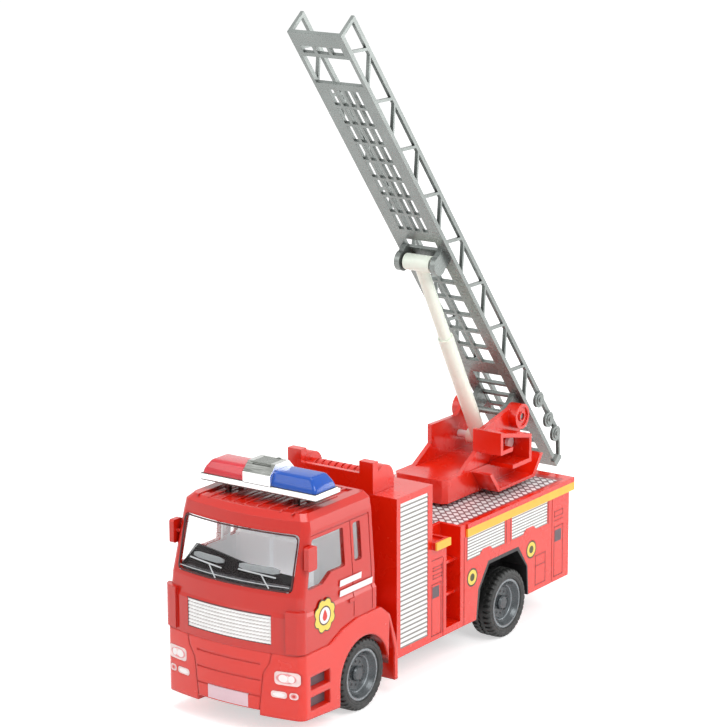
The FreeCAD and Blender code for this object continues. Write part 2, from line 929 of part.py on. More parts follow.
def body_shell():
    half = body_half_width
    block = box(-half, half, block_front_y, block_rear_y, body_bottom, block_top)
    rear = box(-half, half, block_rear_y, body_rear_y, body_bottom, deck_top)
    overhang = half + band_overhang
    rim = box(-overhang, overhang, recess_rear_y + band_start, body_rear_y + band_rear_overhang,
              deck_top - rim_height, deck_top)
    whole = joined([block, rear, rim])
    niche_inner = half - recess_depth
    sill = body_bottom + recess_sill
    niche = box(niche_inner, half + overrun, recess_front_y, recess_rear_y, sill, deck_top + overrun)
    for rise in (lower_shelf_rise, upper_shelf_rise):
        niche = niche.cut(box(niche_inner, niche_inner + shelf_depth, recess_front_y, recess_rear_y,
                              sill + rise, sill + rise + shelf_thickness))
    notch = box(niche_inner, half + overrun, block_rear_y, recess_rear_y, column_top, deck_top + overrun)
    cuts = both_sides(niche.fuse(notch))
    cuts += both_sides(rear_arch(0, 0, chassis_half_width, half + overrun))
    cuts += shutter_spaces() + body_seams()
    cuts += [band_volume(), deck_plate_volume(), turntable_socket(), chassis_block_space()]
    cuts.append(cross_rod(Vector(0, rear_axle_y, tyre_radius), axle_radius + axle_clearance, -half, half))
    for cut in cuts:
        whole = whole.cut(cut)
    return joined([whole] + column_caps())


def chassis_block_space():
    length = chassis_block_length / 2
    return box(-chassis_half_width, chassis_half_width, rear_axle_y - length, rear_axle_y + length,
               body_bottom - overrun, chassis_block_top)


def column_caps():
    """Caps with a pocket on the narrow columns ahead of the niches, without their coloured faces."""
    half = body_half_width
    inner = half - recess_depth
    outer = half + column_cap_overhang - handle_face_thickness
    top = column_top + column_cap_height
    cap = box(inner, outer, block_rear_y, recess_front_y, column_top, top)
    pocket = box(inner + column_cap_rim, outer - column_cap_rim, block_rear_y + column_cap_rim,
                 recess_front_y - column_cap_rim, top - column_cap_pocket, top + overrun)
    return both_sides(cap.cut(pocket))


def handle_knobs():
    """Coloured outer faces of the column caps, with a round rear corner."""
    outer = body_half_width + column_cap_overhang
    face = box(outer - handle_face_thickness, outer, block_rear_y, recess_front_y, column_top,
               column_top + column_cap_height)
    return Part.makeCompound(both_sides(face))


def hump(centre_y):
    """Raised stop under a rear shutter."""
    half = handle_hump_length / 2
    top_half = handle_hump_top_length / 2
    low = rear_shutter_bottom
    high = low + handle_hump_height
    outer = body_half_width + overrun
    return across([
        (centre_y - half, low - overrun), (centre_y - half, low), (centre_y - top_half, high),
        (centre_y + top_half, high), (centre_y + half, low), (centre_y + half, low - overrun),
    ], body_half_width - shutter_depth - overrun, outer)


def shutter(front, rear, low, high, slats):
    """Slatted shutter on the left side: each slat leans out to its lower edge."""
    inner = body_half_width - shutter_depth
    valley = inner + shutter_backing
    crest = body_half_width - shutter_face_gap
    pitch = (high - low) / slats
    points = [(inner, low)]
    for index in range(slats):
        base = low + pitch * index
        points += [(crest, base), (valley, base + pitch)]
    points.append((inner, high))
    return lengthways(points, front, rear)


def shutter_places():
    """Front, rear, bottom, top and number of slats of each shutter on one side."""
    second = rear_shutter_y + rear_shutter_length + rear_shutter_gap
    rear = (rear_shutter_bottom, rear_shutter_top, rear_slats)
    return [
        (block_front_y + shutter_margin, block_rear_y - shutter_rear_margin, block_shutter_bottom,
         block_shutter_top, block_slats),
        (rear_shutter_y, rear_shutter_y + rear_shutter_length) + rear,
        (second, second + rear_shutter_length) + rear,
    ]


def shutter_spaces():
    spaces = []
    for front, rear, low, high, slats in shutter_places():
        space = box(body_half_width - shutter_depth, body_half_width + overrun, front, rear, low, high)
        if slats == rear_slats:
            space = space.cut(hump((front + rear) / 2))
        spaces += both_sides(space)
    return spaces


def side_shutters():
    pieces = []
    for front, rear, low, high, slats in shutter_places():
        piece = shutter(front, rear, low, high, slats)
        if slats == rear_slats:
            piece = piece.cut(hump((front + rear) / 2))
        pieces += both_sides(piece)
    return Part.makeCompound(pieces)


def body_seams():
    """Upright slots that part the side panels."""
    inner = body_half_width - seam_depth
    outer = body_half_width + overrun
    low = body_bottom - overrun
    places = [
        (block_rear_y + column_seam, column_seam_top),
        (recess_rear_y + shutter_margin, rear_shutter_top),
        (body_rear_y - rear_panel_seam, deck_top - rim_height - band_height),
    ]
    slots = []
    for place, top in places:
        slots += both_sides(box(inner, outer, place, place + seam_width, low, top))
    return slots


def chassis():
    """Base plate with a block round each axle and the rear wheel wells."""
    plate_low = body_bottom - chassis_plate_thickness
    length = chassis_block_length / 2
    width = chassis_half_width
    wide = width + arch_wall
    plate = box(-wide, wide, block_front_y, body_rear_y - arch_wall, plate_low, body_bottom)
    front = box(-width, width, front_y + bumper_thickness, block_front_y, plate_low, cab_seam)
    blocks = [box(-width, width, axle_y - length, axle_y + length, chassis_bottom, chassis_block_top)
              for axle_y in (front_axle_y, rear_axle_y)]
    well = rear_arch(0, 0, width, body_half_width)
    well = well.cut(rear_arch(arch_wall, arch_foot_wall, width + arch_wall, body_half_width + overrun))
    well = well.common(box(width, body_half_width, block_rear_y, body_rear_y, body_bottom, deck_top))
    whole = joined([plate, front] + blocks + both_sides(well))
    for axle_y in (front_axle_y, rear_axle_y):
        whole = whole.cut(cross_rod(Vector(0, axle_y, tyre_radius), axle_radius + axle_clearance,
                                    -body_half_width, body_half_width))
    return whole.removeSplitter()


# Ladder rests
def ladder_rests():
    """Two posts with round saddles behind them, and the low wall between the posts."""
    front = block_front_y
    outer = rest_inner + rest_width
    centre = Vector(0, saddle_y, saddle_height)
    post = box(rest_inner, outer, front, front + rest_post_length, block_top,
               block_top + rest_post_rise)
    saddle = cross_rod(centre, saddle_radius, rest_inner, outer)
    foot = box(rest_inner, outer, front, saddle_y + saddle_radius, block_top, saddle_height)
    side = joined([post, saddle, foot])
    side = side.common(box(0, body_half_width, front, block_rear_y, block_top,
                           block_top + rest_post_rise))
    wall = box(-rest_inner, rest_inner, front, front + rest_wall_length, block_top,
               block_top + rest_wall_rise)
    return joined(both_sides(side) + [wall])


def rest_roller():
    """Round bar with grooves between the saddles."""
    pitch = 2 * rest_inner / roller_ribs
    centre = Vector(0, saddle_y, saddle_height)
    bar = cross_rod(centre, roller_radius, -rest_inner, rest_inner)
    core = cross_rod(centre, roller_radius - roller_depth, -rest_inner, rest_inner)
    gaps = []
    for index in range(roller_ribs - 1):
        middle = -rest_inner + pitch * (index + 1)
        gaps.append(cross_rod(centre, roller_radius + overrun, middle - roller_groove / 2,
                              middle + roller_groove / 2))
    return bar.cut(Part.makeCompound(gaps).cut(core))


# Wheels
def axle(axle_y):
    inner = wheel_outer_x - axle_end_gap - rim_face_thickness
    return cross_rod(Vector(0, axle_y, tyre_radius), axle_radius, -inner, inner)


def ring_section(points, axle_y):
    """Outline of (x, radius) points turned about the axle."""
    corners = [Vector(x, axle_y, tyre_radius + radius) for x, radius in points]
    return face_of(corners).revolve(Vector(0, axle_y, tyre_radius), Vector(1, 0, 0), 360)


def tyres(axle_y):
    """Pair of tyres whose walls lean out to the tread."""
    tyre = ring_section([
        (wheel_inner_x + tyre_wall_bulge, rim_radius), (wheel_inner_x, tyre_radius),
        (wheel_outer_x, tyre_radius), (wheel_outer_x - tyre_wall_bulge, rim_radius),
    ], axle_y)
    return Part.makeCompound(both_sides(tyre))


def rims(axle_y):
    outer = wheel_outer_x - tyre_wall_bulge
    inner = wheel_inner_x + tyre_wall_bulge
    face = outer - rim_dish_depth
    bore_end = wheel_outer_x - axle_end_gap - rim_face_thickness
    rim = ring_section([
        (inner, axle_radius), (bore_end, axle_radius), (bore_end, 0), (face + hub_height, 0),
        (face + hub_height, hub_radius - hub_chamfer), (face + hub_height - hub_chamfer, hub_radius),
        (face, hub_radius), (face, rim_disc_radius), (outer - rim_step_depth, rim_step_radius),
        (outer, rim_radius - rim_lip), (outer, rim_radius), (inner, rim_radius),
    ], axle_y)
    return Part.makeCompound(both_sides(rim))


# Turntable
def turntable_side():
    """Left wall with the hinge ear, the tray and the guard."""
    outer = turntable_half_width - turntable_wall_inset
    inner = outer - turntable_wall
    ear_outer = turntable_half_width + ear_thickness
    wall = across([
        (yaw_y - turntable_wall_start, turntable_floor),
        (yaw_y - turntable_wall_break, turntable_wall_rise),
        (yaw_y - turntable_wall_break, turntable_wall_top),
        (yaw_y + ear_reach, ear_height + ear_radius - ear_ring),
        (yaw_y + ear_reach + ear_radius - ear_ring, ear_height),
        (yaw_y + turntable_rear, turntable_floor),
    ], inner, outer)
    barrel = cross_rod(ear, ear_radius, inner, ear_outer)
    ring = cross_rod(ear, ear_radius - ear_ring * 2, ear_outer - ear_ring, ear_outer + overrun)
    core = cross_rod(ear, ear_hole_radius + ear_ring, ear_outer - ear_ring, ear_outer + overrun)
    boss = cross_rod(cylinder_foot, rivet_boss_radius, inner, turntable_half_width + rivet_boss_height)
    barrel = barrel.cut(ring.cut(core))
    return joined([wall, barrel, boss, tray(inner), guard(inner)])


def tray(inner):
    """Open tray along the foot of the wall, with leaning ends."""
    lean = (tray_front - tray_floor_front) * tray_wall / (tray_top - tray_bottom)
    outer = turntable_half_width + tray_depth
    front = yaw_y - tray_front
    floor_front = yaw_y - tray_floor_front
    floor_rear = yaw_y + tray_floor_rear
    rear = yaw_y + tray_rear
    shape = across([(front, tray_top), (floor_front, tray_bottom), (floor_rear, tray_bottom),
                    (rear, tray_top)], inner, outer)
    hollow = across([(front + tray_wall + lean, tray_top), (floor_front + tray_wall, tray_bottom + tray_wall),
                     (floor_rear - tray_wall, tray_bottom + tray_wall), (rear - tray_wall - lean, tray_top)],
                    turntable_half_width, outer + overrun)
    return shape.cut(hollow)


def guard(inner):
    """Hood ahead of the rivet, open on its outer side, with a roof back to a plate on its floor."""
    outer = turntable_half_width + guard_depth
    front = yaw_y - guard_front
    rear = yaw_y + guard_wing_rear
    floor_top = guard_floor_bottom + guard_wall
    return joined([
        box(inner, outer, front, front + guard_wall, guard_bottom, guard_top),
        box(inner, outer, front, front + guard_box_length, guard_bottom, guard_bottom + guard_wall),
        box(inner, outer, rear - guard_wall, rear, guard_floor_bottom, guard_wing_top),
        box(inner, outer, yaw_y + guard_floor_front, rear, guard_floor_bottom, floor_top),
        across([(front, guard_top), (rear, guard_wing_top), (rear, guard_wing_top - guard_wall),
                (front, guard_top - guard_wall)], inner, outer),
    ])


def turntable():
    half = turntable_half_width
    y_front = yaw_y - turntable_front
    corner = turntable_corner
    base = upright([(-half, y_front + corner), (corner - half, y_front), (half - corner, y_front),
                    (half, y_front + corner), (half, yaw_y + turntable_rear),
                    (-half, yaw_y + turntable_rear)], turntable_bottom, turntable_floor)
    disc = Part.makeCylinder(turntable_disc_radius, turntable_bottom - deck_top - turntable_gap,
                             Vector(0, yaw_y, deck_top + turntable_gap))
    pin = Part.makeCylinder(turntable_pin_radius, turntable_pin_length + turntable_bottom - deck_top,
                            Vector(0, yaw_y, deck_top - turntable_pin_length))
    whole = joined([base, disc, pin] + both_sides(turntable_side()))
    reach = half + ear_thickness + overrun
    boss_end = half + rivet_boss_height
    head_space = cross_rod(cylinder_foot, rivet_head_radius + rivet_clearance, boss_end, reach)
    for cut in [cross_rod(ear, hinge_pin_radius + rivet_clearance, -reach, reach),
                cross_rod(cylinder_foot, rivet_radius, -reach, reach)] + both_sides(head_space):
        whole = whole.cut(cut)
    return whole.removeSplitter()


def cylinder_rivet():
    """Rivet through both walls that carries the foot of the lift cylinder."""
    half = turntable_half_width + rivet_boss_height
    shank = cross_rod(cylinder_foot, rivet_radius, -half, half)
    heads = both_sides(cross_rod(cylinder_foot, rivet_head_radius, half, half + rivet_head_height))
    return joined([shank] + heads)


# Ladder
def ladder_side():
    """One side truss with its bottom and top chords, from the inside face outwards."""
    outer = ladder_half_width
    inner = outer - ladder_wall
    top = ladder_height
    end = ladder_length - strut_width / 2
    before_end = ladder_length - strut_width * 2
    knee = foot_height - chord_height / 2
    pieces = [
        ladder_box(inner, outer, 0, chord_bend + foot_height, 0, chord_height),
        ladder_box(inner, outer, 0, chord_bend, top - chord_height, top),
        ladder_box(inner, outer, 0, strut_width, 0, top),
        ladder_prism([
            (chord_bend - chord_height, top), (chord_bend, top), (end, knee), (end, 0), (before_end, 0),
            (before_end, knee),
        ], inner, outer),
    ]
    for index in range(truss_nodes):
        node = truss_first_node + truss_pitch * index
        for reach, sign in ((truss_spread_up, -1), (truss_spread_down, 1)):
            near = node + sign * truss_gap / 2
            far = node + sign * reach
            half = strut_width / 2
            high = top - chord_height / 2
            low = chord_height / 2
            pieces.append(ladder_prism([
                (near - half, high), (near + half, high), (far + half, low), (far - half, low),
            ], inner, outer))
    return joined(pieces)


def floor_grid(start, end, rows, columns, half):
    """Floor panel with a grid of square openings."""
    panel = ladder_box(-half, half, start, end, 0, ladder_floor)
    pitch = (end - start) / rows
    width = (2 * half) / columns
    holes = []
    for row in range(rows):
        for column in range(columns):
            x0 = -half + width * column + grid_bar / 2
            s0 = start + pitch * row + grid_bar / 2
            holes.append(ladder_box(x0, x0 + width - grid_bar, s0, s0 + pitch - grid_bar, -overrun,
                                    ladder_floor + overrun))
    return panel.cut(Part.makeCompound(holes))


def ladder_floor_panels():
    half = ladder_half_width - ladder_wall
    mesh_half = half - flange_width + ladder_wall
    panels = [ladder_box(-half, half, 0, end_plate_length, 0, ladder_floor)]
    panels.append(ladder_box(-half, half, floor_opening_start, first_grid_start, 0, ladder_floor))
    panels.append(floor_grid(first_grid_start, first_grid_end, first_grid_rows,
                             first_grid_columns, mesh_half))
    bridge_end = first_grid_end + bridge_length
    panels.append(ladder_box(-half, half, first_grid_end, bridge_end, 0, ladder_floor))
    lug_bar = bridge_end + bridge_gap
    panels.append(ladder_box(-half, half, lug_bar, second_grid_start, 0, ladder_floor))
    panels.append(floor_grid(second_grid_start, second_grid_end, second_grid_rows,
                             second_grid_columns, mesh_half))
    panels.append(ladder_box(-half, half, second_grid_end, foot_grid_start, 0, ladder_floor))
    panels.append(floor_grid(foot_grid_start, foot_grid_end, foot_grid_rows, 1, mesh_half))
    panels.append(ladder_box(-half, half, foot_grid_end, ladder_length - strut_width, 0, ladder_floor))
    foot = ladder_box(-ladder_half_width, ladder_half_width, ladder_length - strut_width, ladder_length,
                      0, foot_height)
    panels.append(foot)
    for side in (-1, 1):
        edge = sorted((side * mesh_half, side * half))
        panels.append(ladder_box(edge[0], edge[1], 0, end_plate_length, 0, ladder_floor))
        panels.append(ladder_box(edge[0], edge[1], floor_opening_start, foot_grid_end, 0, ladder_floor))
    windows = []
    span = 2 * half - end_window_gap * (end_windows + 1)
    width = span / end_windows
    for index in range(end_windows):
        x0 = -half + end_window_gap + index * (width + end_window_gap)
        windows.append(ladder_box(x0, x0 + width, end_window_start, end_window_start + end_window_length,
                                  -overrun, ladder_floor + overrun))
    panel = joined(panels)
    for window in windows:
        panel = panel.cut(window)
    return panel


def lug_plate(station, drop, radius, x0, x1, reach):
    """Plate lug that hangs under the floor, with a round end."""
    pin = on_ladder(station, -drop)
    plate = ladder_prism([(station - reach, 0), (station + reach, 0), (station + radius * lug_waist, -drop),
                          (station - radius * lug_waist, -drop)], x0, x1)
    return plate.fuse(cross_rod(pin, radius, x0, x1))


def ladder():
    pieces = both_sides(ladder_side()) + [ladder_floor_panels()]
    hinge_outer = turntable_half_width - turntable_wall_inset - turntable_wall - hinge_side_gap
    hinge_lug = lug_plate(hinge_station, hinge_drop, hinge_lug_radius,
                          hinge_outer - hinge_lug_thickness, hinge_outer, hinge_lug_radius)
    pieces += both_sides(hinge_lug)
    x0 = cylinder_lug_inner
    cylinder_lug = lug_plate(cylinder_station, cylinder_drop, cylinder_lug_radius, x0,
                             x0 + cylinder_lug_thickness, cylinder_lug_radius)
    pieces += both_sides(cylinder_lug)
    whole = joined(pieces)
    bore = cross_rod(ear, hinge_pin_radius, -ladder_half_width, ladder_half_width)
    return whole.cut(bore).removeSplitter()


def hinge_pin():
    """Pin through the ladder's lugs, which turns in the turntable's ears."""
    half = turntable_half_width + ear_thickness - ear_ring
    return cross_rod(ear, hinge_pin_radius, -half, half)


def ladder_pulleys():
    pulleys = []
    x1 = ladder_half_width
    for station in (first_pulley_station, middle_pulley_station, last_pulley_station):
        pulleys.append(cross_rod(on_ladder(station, pulley_height), pulley_radius, x1,
                                 x1 + pulley_thickness))
    return Part.makeCompound(pulleys)


# Lift cylinder
def lift_line():
    """Foot, eye and direction of the lift cylinder as it stands."""
    eye = on_ladder(cylinder_station, -cylinder_drop)
    direction = eye - cylinder_foot
    return eye, direction.normalize()


def lift_sleeve():
    eye, direction = lift_line()
    tube = Part.makeCylinder(sleeve_radius, sleeve_length, cylinder_foot, direction)
    bore = Part.makeCylinder(sleeve_bore, sleeve_length,
                             cylinder_foot + direction * (sleeve_foot_radius + ladder_wall), direction)
    foot = cross_rod(cylinder_foot, sleeve_foot_radius, -sleeve_foot_length / 2, sleeve_foot_length / 2)
    pin = cross_rod(cylinder_foot, rivet_radius + rivet_clearance, -sleeve_foot_length, sleeve_foot_length)
    return tube.fuse(foot).cut(bore).cut(pin).removeSplitter()


def lift_rod():
    eye, direction = lift_line()
    length = (eye - cylinder_foot).Length
    start = cylinder_foot + direction * (sleeve_length - rod_tail)
    rod = Part.makeCylinder(rod_radius, length - sleeve_length + rod_tail, start, direction)
    head = cross_rod(eye, rod_head_radius, -rod_head_length / 2, rod_head_length / 2)
    return joined([rod, head])


def main():
    os.makedirs("parts", exist_ok=True)
    nodes = {
        "cab_shell": cab_shell(),
        "windscreen": panes([windscreen_opening()]),
        "side_windows": panes(side_window_openings()),
        "cab_interior": cab_interior(),
        "grille": grille(),
        "mirrors": mirrors(),
        "front_bumper": front_bumper(),
        "front_lights": Part.makeCompound(front_lights()),
        "number_plate": number_plate(),
        "lightbar_base": lightbar_base(),
        "lens_right": lightbar_lens(-1),
        "lens_left": lightbar_lens(1),
        "body_shell": body_shell(),
        "deck_plate": deck_plate_volume().cut(turntable_socket()),
        "yellow_band": band_volume(),
        "handle_knobs": handle_knobs(),
        "side_shutters": side_shutters(),
        "chassis": chassis(),
        "ladder_rests": ladder_rests(),
        "rest_roller": rest_roller(),
        "front_axle": axle(front_axle_y),
        "front_rims": rims(front_axle_y),
        "front_tyres": tyres(front_axle_y),
        "rear_axle": axle(rear_axle_y),
        "rear_rims": rims(rear_axle_y),
        "rear_tyres": tyres(rear_axle_y),
        "turntable": turntable(),
        "cylinder_rivet": cylinder_rivet(),
        "ladder": ladder(),
        "hinge_pin": hinge_pin(),
        "ladder_pulleys": ladder_pulleys(),
        "lift_sleeve": lift_sleeve(),
        "lift_rod": lift_rod(),
    }
    for name, shape in nodes.items():
        shape.exportStep(f"parts/{name}.step")


if __name__ == "__main__":
    main()
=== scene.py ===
import math

import bmesh
import bpy
from mathutils import Matrix, Vector
from mathutils.bvhtree import BVHTree
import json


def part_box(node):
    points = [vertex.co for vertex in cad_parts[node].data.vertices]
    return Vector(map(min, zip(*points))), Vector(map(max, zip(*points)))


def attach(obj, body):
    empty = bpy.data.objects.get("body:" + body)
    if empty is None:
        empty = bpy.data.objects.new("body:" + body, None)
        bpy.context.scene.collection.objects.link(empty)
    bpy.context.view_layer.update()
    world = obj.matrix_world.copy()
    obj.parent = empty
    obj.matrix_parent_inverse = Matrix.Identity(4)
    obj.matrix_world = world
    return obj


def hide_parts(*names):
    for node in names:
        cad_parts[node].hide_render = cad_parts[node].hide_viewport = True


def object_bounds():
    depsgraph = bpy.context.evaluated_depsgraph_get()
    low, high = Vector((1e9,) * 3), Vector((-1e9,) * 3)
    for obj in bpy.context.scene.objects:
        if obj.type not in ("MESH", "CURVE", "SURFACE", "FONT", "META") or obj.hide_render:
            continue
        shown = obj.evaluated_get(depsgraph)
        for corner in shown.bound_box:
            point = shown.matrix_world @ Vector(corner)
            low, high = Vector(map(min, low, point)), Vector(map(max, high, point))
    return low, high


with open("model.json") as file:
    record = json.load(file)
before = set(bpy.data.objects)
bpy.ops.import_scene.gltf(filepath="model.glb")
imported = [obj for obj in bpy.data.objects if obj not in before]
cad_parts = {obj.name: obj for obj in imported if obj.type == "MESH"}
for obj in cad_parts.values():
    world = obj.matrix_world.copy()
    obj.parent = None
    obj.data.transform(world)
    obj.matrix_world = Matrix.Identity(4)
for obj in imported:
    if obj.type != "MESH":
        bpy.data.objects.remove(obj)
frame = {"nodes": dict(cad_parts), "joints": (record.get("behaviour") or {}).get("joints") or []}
nodes = frame["nodes"]
cad_low, cad_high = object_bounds()

# Lengths are millimetres, and a station is the distance behind the front face
MM = 0.001
FRONT_Y = cad_low.y / MM
JOINTS = {joint["name"]: joint for joint in frame["joints"]}


def joint_place(name):
    return Vector(JOINTS[name]["pos_m"]) / MM


def node_box(name):
    """Lowest and highest corner of a CAD node in millimetres."""
    low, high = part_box(name)
    return low / MM, high / MM


# Colours

def linear_share(share):
    return share / 12.92 if share < 0.04045 else ((share + 0.055) / 1.055) ** 2.4


def linear(*shades):
    """sRGB bytes as a linear colour with alpha."""
    return [linear_share(shade / 255) for shade in shades] + [1]


def tone(colour, factor):
    """The colour made lighter or darker, alpha kept."""
    return [min(1, value * factor) for value in colour[:3]] + [1]


def grey(value):
    return [value, value, value, 1]


# Materials

class Nodes:
    """A material's node tree with short calls for the nodes that are used here."""

    def __init__(self, name):
        self.material = bpy.data.materials.new(name)
        self.material.use_nodes = True
        self.tree = self.material.node_tree
        self.shader = self.tree.nodes["Principled BSDF"]
        self.coords = self.tree.nodes.new("ShaderNodeTexCoord")

    def new(self, kind, **settings):
        node = self.tree.nodes.new("ShaderNode" + kind)
        for key, value in settings.items():
            setattr(node, key, value)
        return node

    def join(self, output, entry):
        self.tree.links.new(output, entry)

    def shade(self, output, entry="Base Color"):
        """Drives one of the shader's entries."""
        self.join(output, self.shader.inputs[entry])

    def feed(self, entry, value):
        if isinstance(value, (int, float, list, tuple)):
            entry.default_value = value
        else:
            self.join(value, entry)

    def set(self, **values):
        for key, value in values.items():
            self.shader.inputs[key.replace("_", " ")].default_value = value

    def noise(self, scale, detail=2.0, stretch=None):
        """Noise with scale bumps per millimetre."""
        texture = self.new("TexNoise")
        texture.inputs["Scale"].default_value = scale / MM
        texture.inputs["Detail"].default_value = detail
        source = self.coords.outputs["Object"]
        if stretch:
            mapping = self.new("Mapping")
            mapping.inputs["Scale"].default_value = stretch
            self.join(source, mapping.inputs["Vector"])
            source = mapping.outputs["Vector"]
        self.join(source, texture.inputs["Vector"])
        return texture.outputs["Fac"]

    def ramp(self, value, stops):
        ramp = self.new("ValToRGB")
        elements = ramp.color_ramp.elements
        while len(elements) < len(stops):
            elements.new(0.5)
        for element, (place, colour) in zip(elements, stops):
            element.position = place
            element.color = colour
        self.join(value, ramp.inputs["Fac"])
        return ramp.outputs["Color"]

    def math(self, operation, *values):
        node = self.new("Math", operation=operation)
        for entry, value in zip(node.inputs, values):
            self.feed(entry, value)
        return node.outputs[0]

    def less(self, first, second):
        return self.math("SUBTRACT", first, second)

    def size(self, value):
        return self.math("ABSOLUTE", value)

    def between(self, value):
        """The value kept between 0 and 1."""
        return self.math("MINIMUM", self.math("MAXIMUM", value, 0), 1)

    def mix(self, share, first, second):
        node = self.new("Mix", data_type="RGBA")
        for entry, value in zip((node.inputs[0], node.inputs[6], node.inputs[7]), (share, first, second)):
            self.feed(entry, value)
        return node.outputs[2]

    def bump(self, height, distance, edge=0.0):
        """Relief in millimetres, with edges softened over the radius edge."""
        node = self.new("Bump")
        if edge:
            soft = self.new("Bevel", samples=4)
            soft.inputs["Radius"].default_value = edge * MM
            self.join(soft.outputs["Normal"], node.inputs["Normal"])
        node.inputs["Distance"].default_value = distance * MM
        self.join(height, node.inputs["Height"])
        self.shade(node.outputs["Normal"], "Normal")

    def axis(self, name):
        """One of the object coordinates in millimetres."""
        split = self.new("SeparateXYZ")
        self.join(self.coords.outputs["Object"], split.inputs[0])
        return self.math("DIVIDE", split.outputs[name], MM)


def moulded(name, colour, rough=0.28, coat=0.0, mottle=0.06, grain=0.02, scale=0.25, metallic=0.0,
            specular=0.5, edge=0.0, painted_shade=0.0, glow=0.0):
    """Moulded plastic or paint: faint cloudiness in the colour, uneven gloss and a slight surface ripple.

    The share of darkening in recesses, found by ambient occlusion, is painted shade, and glow is painted
    light: emission that brightens it though it is no lamp."""
    recess = 6
    made = Nodes(name)
    cloud = made.noise(scale, 3)
    surface = made.ramp(cloud, [(0.3, tone(colour, 1 - mottle)), (0.7, tone(colour, 1 + mottle))])
    # Painted shade: the colour darkens in the recesses that ambient occlusion finds
    if painted_shade:
        hidden = made.new("AmbientOcclusion", samples=6)
        hidden.inputs["Distance"].default_value = recess * MM
        surface = made.mix(hidden.outputs["AO"], tone(colour, 1 - painted_shade), surface)
    made.shade(surface)
    # Painted light: the surface colour is also emitted, a glow though it is no lamp
    if glow:
        made.shade(surface, "Emission Color")
        made.set(Emission_Strength=glow)
    gloss = made.ramp(made.noise(scale * 3), [(0.3, grey(rough * 0.8)), (0.7, grey(rough * 1.25))])
    made.shade(gloss, "Roughness")
    made.set(Metallic=metallic, Coat_Weight=coat, Coat_Roughness=0.1, Specular_IOR_Level=specular)
    made.bump(made.noise(0.5), grain, edge=edge)
    return made.material


def glassy(name, colour, rough=0.05, ior=1.45, clear=1.0, coat=0.0, alpha=1.0):
    """Clear or coloured see-through plastic with slight waviness."""
    made = Nodes(name)
    made.shade(made.ramp(made.noise(0.2), [(0.3, tone(colour, 0.97)), (0.7, tone(colour, 1.0))]))
    made.set(Transmission_Weight=clear, Roughness=rough, IOR=ior, Coat_Weight=coat, Alpha=alpha)
    made.bump(made.noise(0.25, 1), 0.03)
    return made.material


def tread_plate():
    """Silver lozenges in rows on a maroon ground, with a plain border."""
    pitch, shift_x, shift_y = 2.75, 1.1, 0.6
    half_length, half_width, sharpness = 1.9, 1.25, 7
    tooth, tooth_depth = 0.24, 0.8
    border_x, border_y, border_sharpness = 23.3, 63.6, 8
    made = Nodes("deck_print")
    x, y = made.axis("X"), made.axis("Y")
    across = made.less(made.math("FLOORED_MODULO", made.math("ADD", x, shift_x), pitch), pitch / 2)
    along = made.less(made.math("FLOORED_MODULO", made.math("ADD", y, shift_y), pitch), pitch / 2)
    length = made.size(made.less(across, along))
    width = made.size(made.math("ADD", across, along))
    teeth = made.math("PINGPONG", made.math("ADD", length, made.noise(1.2)), tooth)
    ragged = made.math("MULTIPLY", teeth, tooth_depth)
    short = made.less(half_length, length)
    narrow = made.less(made.less(half_width, width), ragged)
    inside = made.math("MINIMUM", short, narrow)
    lozenge = made.between(made.math("MULTIPLY", inside, sharpness))
    past_side = made.math("MULTIPLY", made.less(made.size(x), border_x), border_sharpness)
    past_rear = made.math("MULTIPLY", made.less(y, border_y), border_sharpness)
    border = made.between(made.math("MAXIMUM", past_side, past_rear))
    cloud = made.noise(0.15)
    ground = made.ramp(cloud, [(0.35, linear(104, 72, 78)), (0.65, linear(116, 96, 100))])
    silver = made.ramp(cloud, [(0.35, linear(240, 236, 238)), (0.65, linear(232, 240, 240))])
    made.shade(made.mix(border, made.mix(lozenge, ground, silver), linear(178, 52, 54)))
    made.set(Roughness=0.32, Coat_Weight=0.2)
    made.bump(lozenge, 0.05)
    return made.material


def slatted():
    """White shutter slats, each with painted shade under it as a dark ragged line, on tall and low shutters.
    """
    tall_end, tall_foot, tall_height, tall_slats = 73, 14.0, 47.4, 31
    low_foot, low_height, low_slats = 32.9, 8.1, 8
    tooth, tooth_depth = 0.35, 0.22
    made = Nodes("shutter_white")
    y, z = made.axis("Y"), made.axis("Z")
    tall = made.math("LESS_THAN", y, FRONT_Y + tall_end)
    foot = made.mix(tall, grey(low_foot), grey(tall_foot))
    pitch = made.mix(tall, grey(low_height / low_slats), grey(tall_height / tall_slats))
    ragged = made.math("MULTIPLY", made.math("PINGPONG", y, tooth), tooth_depth)
    share = made.math("FRACT", made.math("DIVIDE", made.less(made.less(z, ragged), foot), pitch))
    profile = made.ramp(share, [(0.0, grey(0.0)), (0.2, grey(0.0)), (0.34, grey(1)), (0.85, grey(1)),
                                (1.0, grey(0.2))])
    slat = made.new("SeparateColor")
    made.join(profile, slat.inputs[0])
    white = made.ramp(made.noise(0.4), [(0.35, linear(238, 240, 238)), (0.65, linear(247, 248, 247))])
    # Painted shade: the dark colour lies under each slat
    made.shade(made.mix(slat.outputs[0], linear(118, 112, 106), white))
    made.set(Roughness=0.35)
    made.bump(slat.outputs[0], 0.05)
    return made.material


def grille_print():
    """Silver-white slats with faint ragged lines between them."""
    foot, height, slats, slat_half_share = 29.3, 9.0, 8, 0.37
    tooth, tooth_depth = 0.6, 0.3
    made = Nodes("grille_silver")
    x, z = made.axis("X"), made.axis("Z")
    ragged = made.math("MULTIPLY", made.math("PINGPONG", x, tooth), tooth_depth)
    row = made.math("DIVIDE", made.less(made.less(z, ragged), foot), height / slats)
    slat = made.math("LESS_THAN", made.size(made.less(made.math("FRACT", row), 0.5)), slat_half_share)
    white = made.ramp(made.noise(0.4), [(0.35, linear(244, 243, 242)), (0.65, linear(252, 252, 251))])
    made.shade(made.mix(slat, linear(196, 186, 184), white))
    made.set(Roughness=0.28, Metallic=0.15)
    made.bump(slat, 0.04)
    return made.material


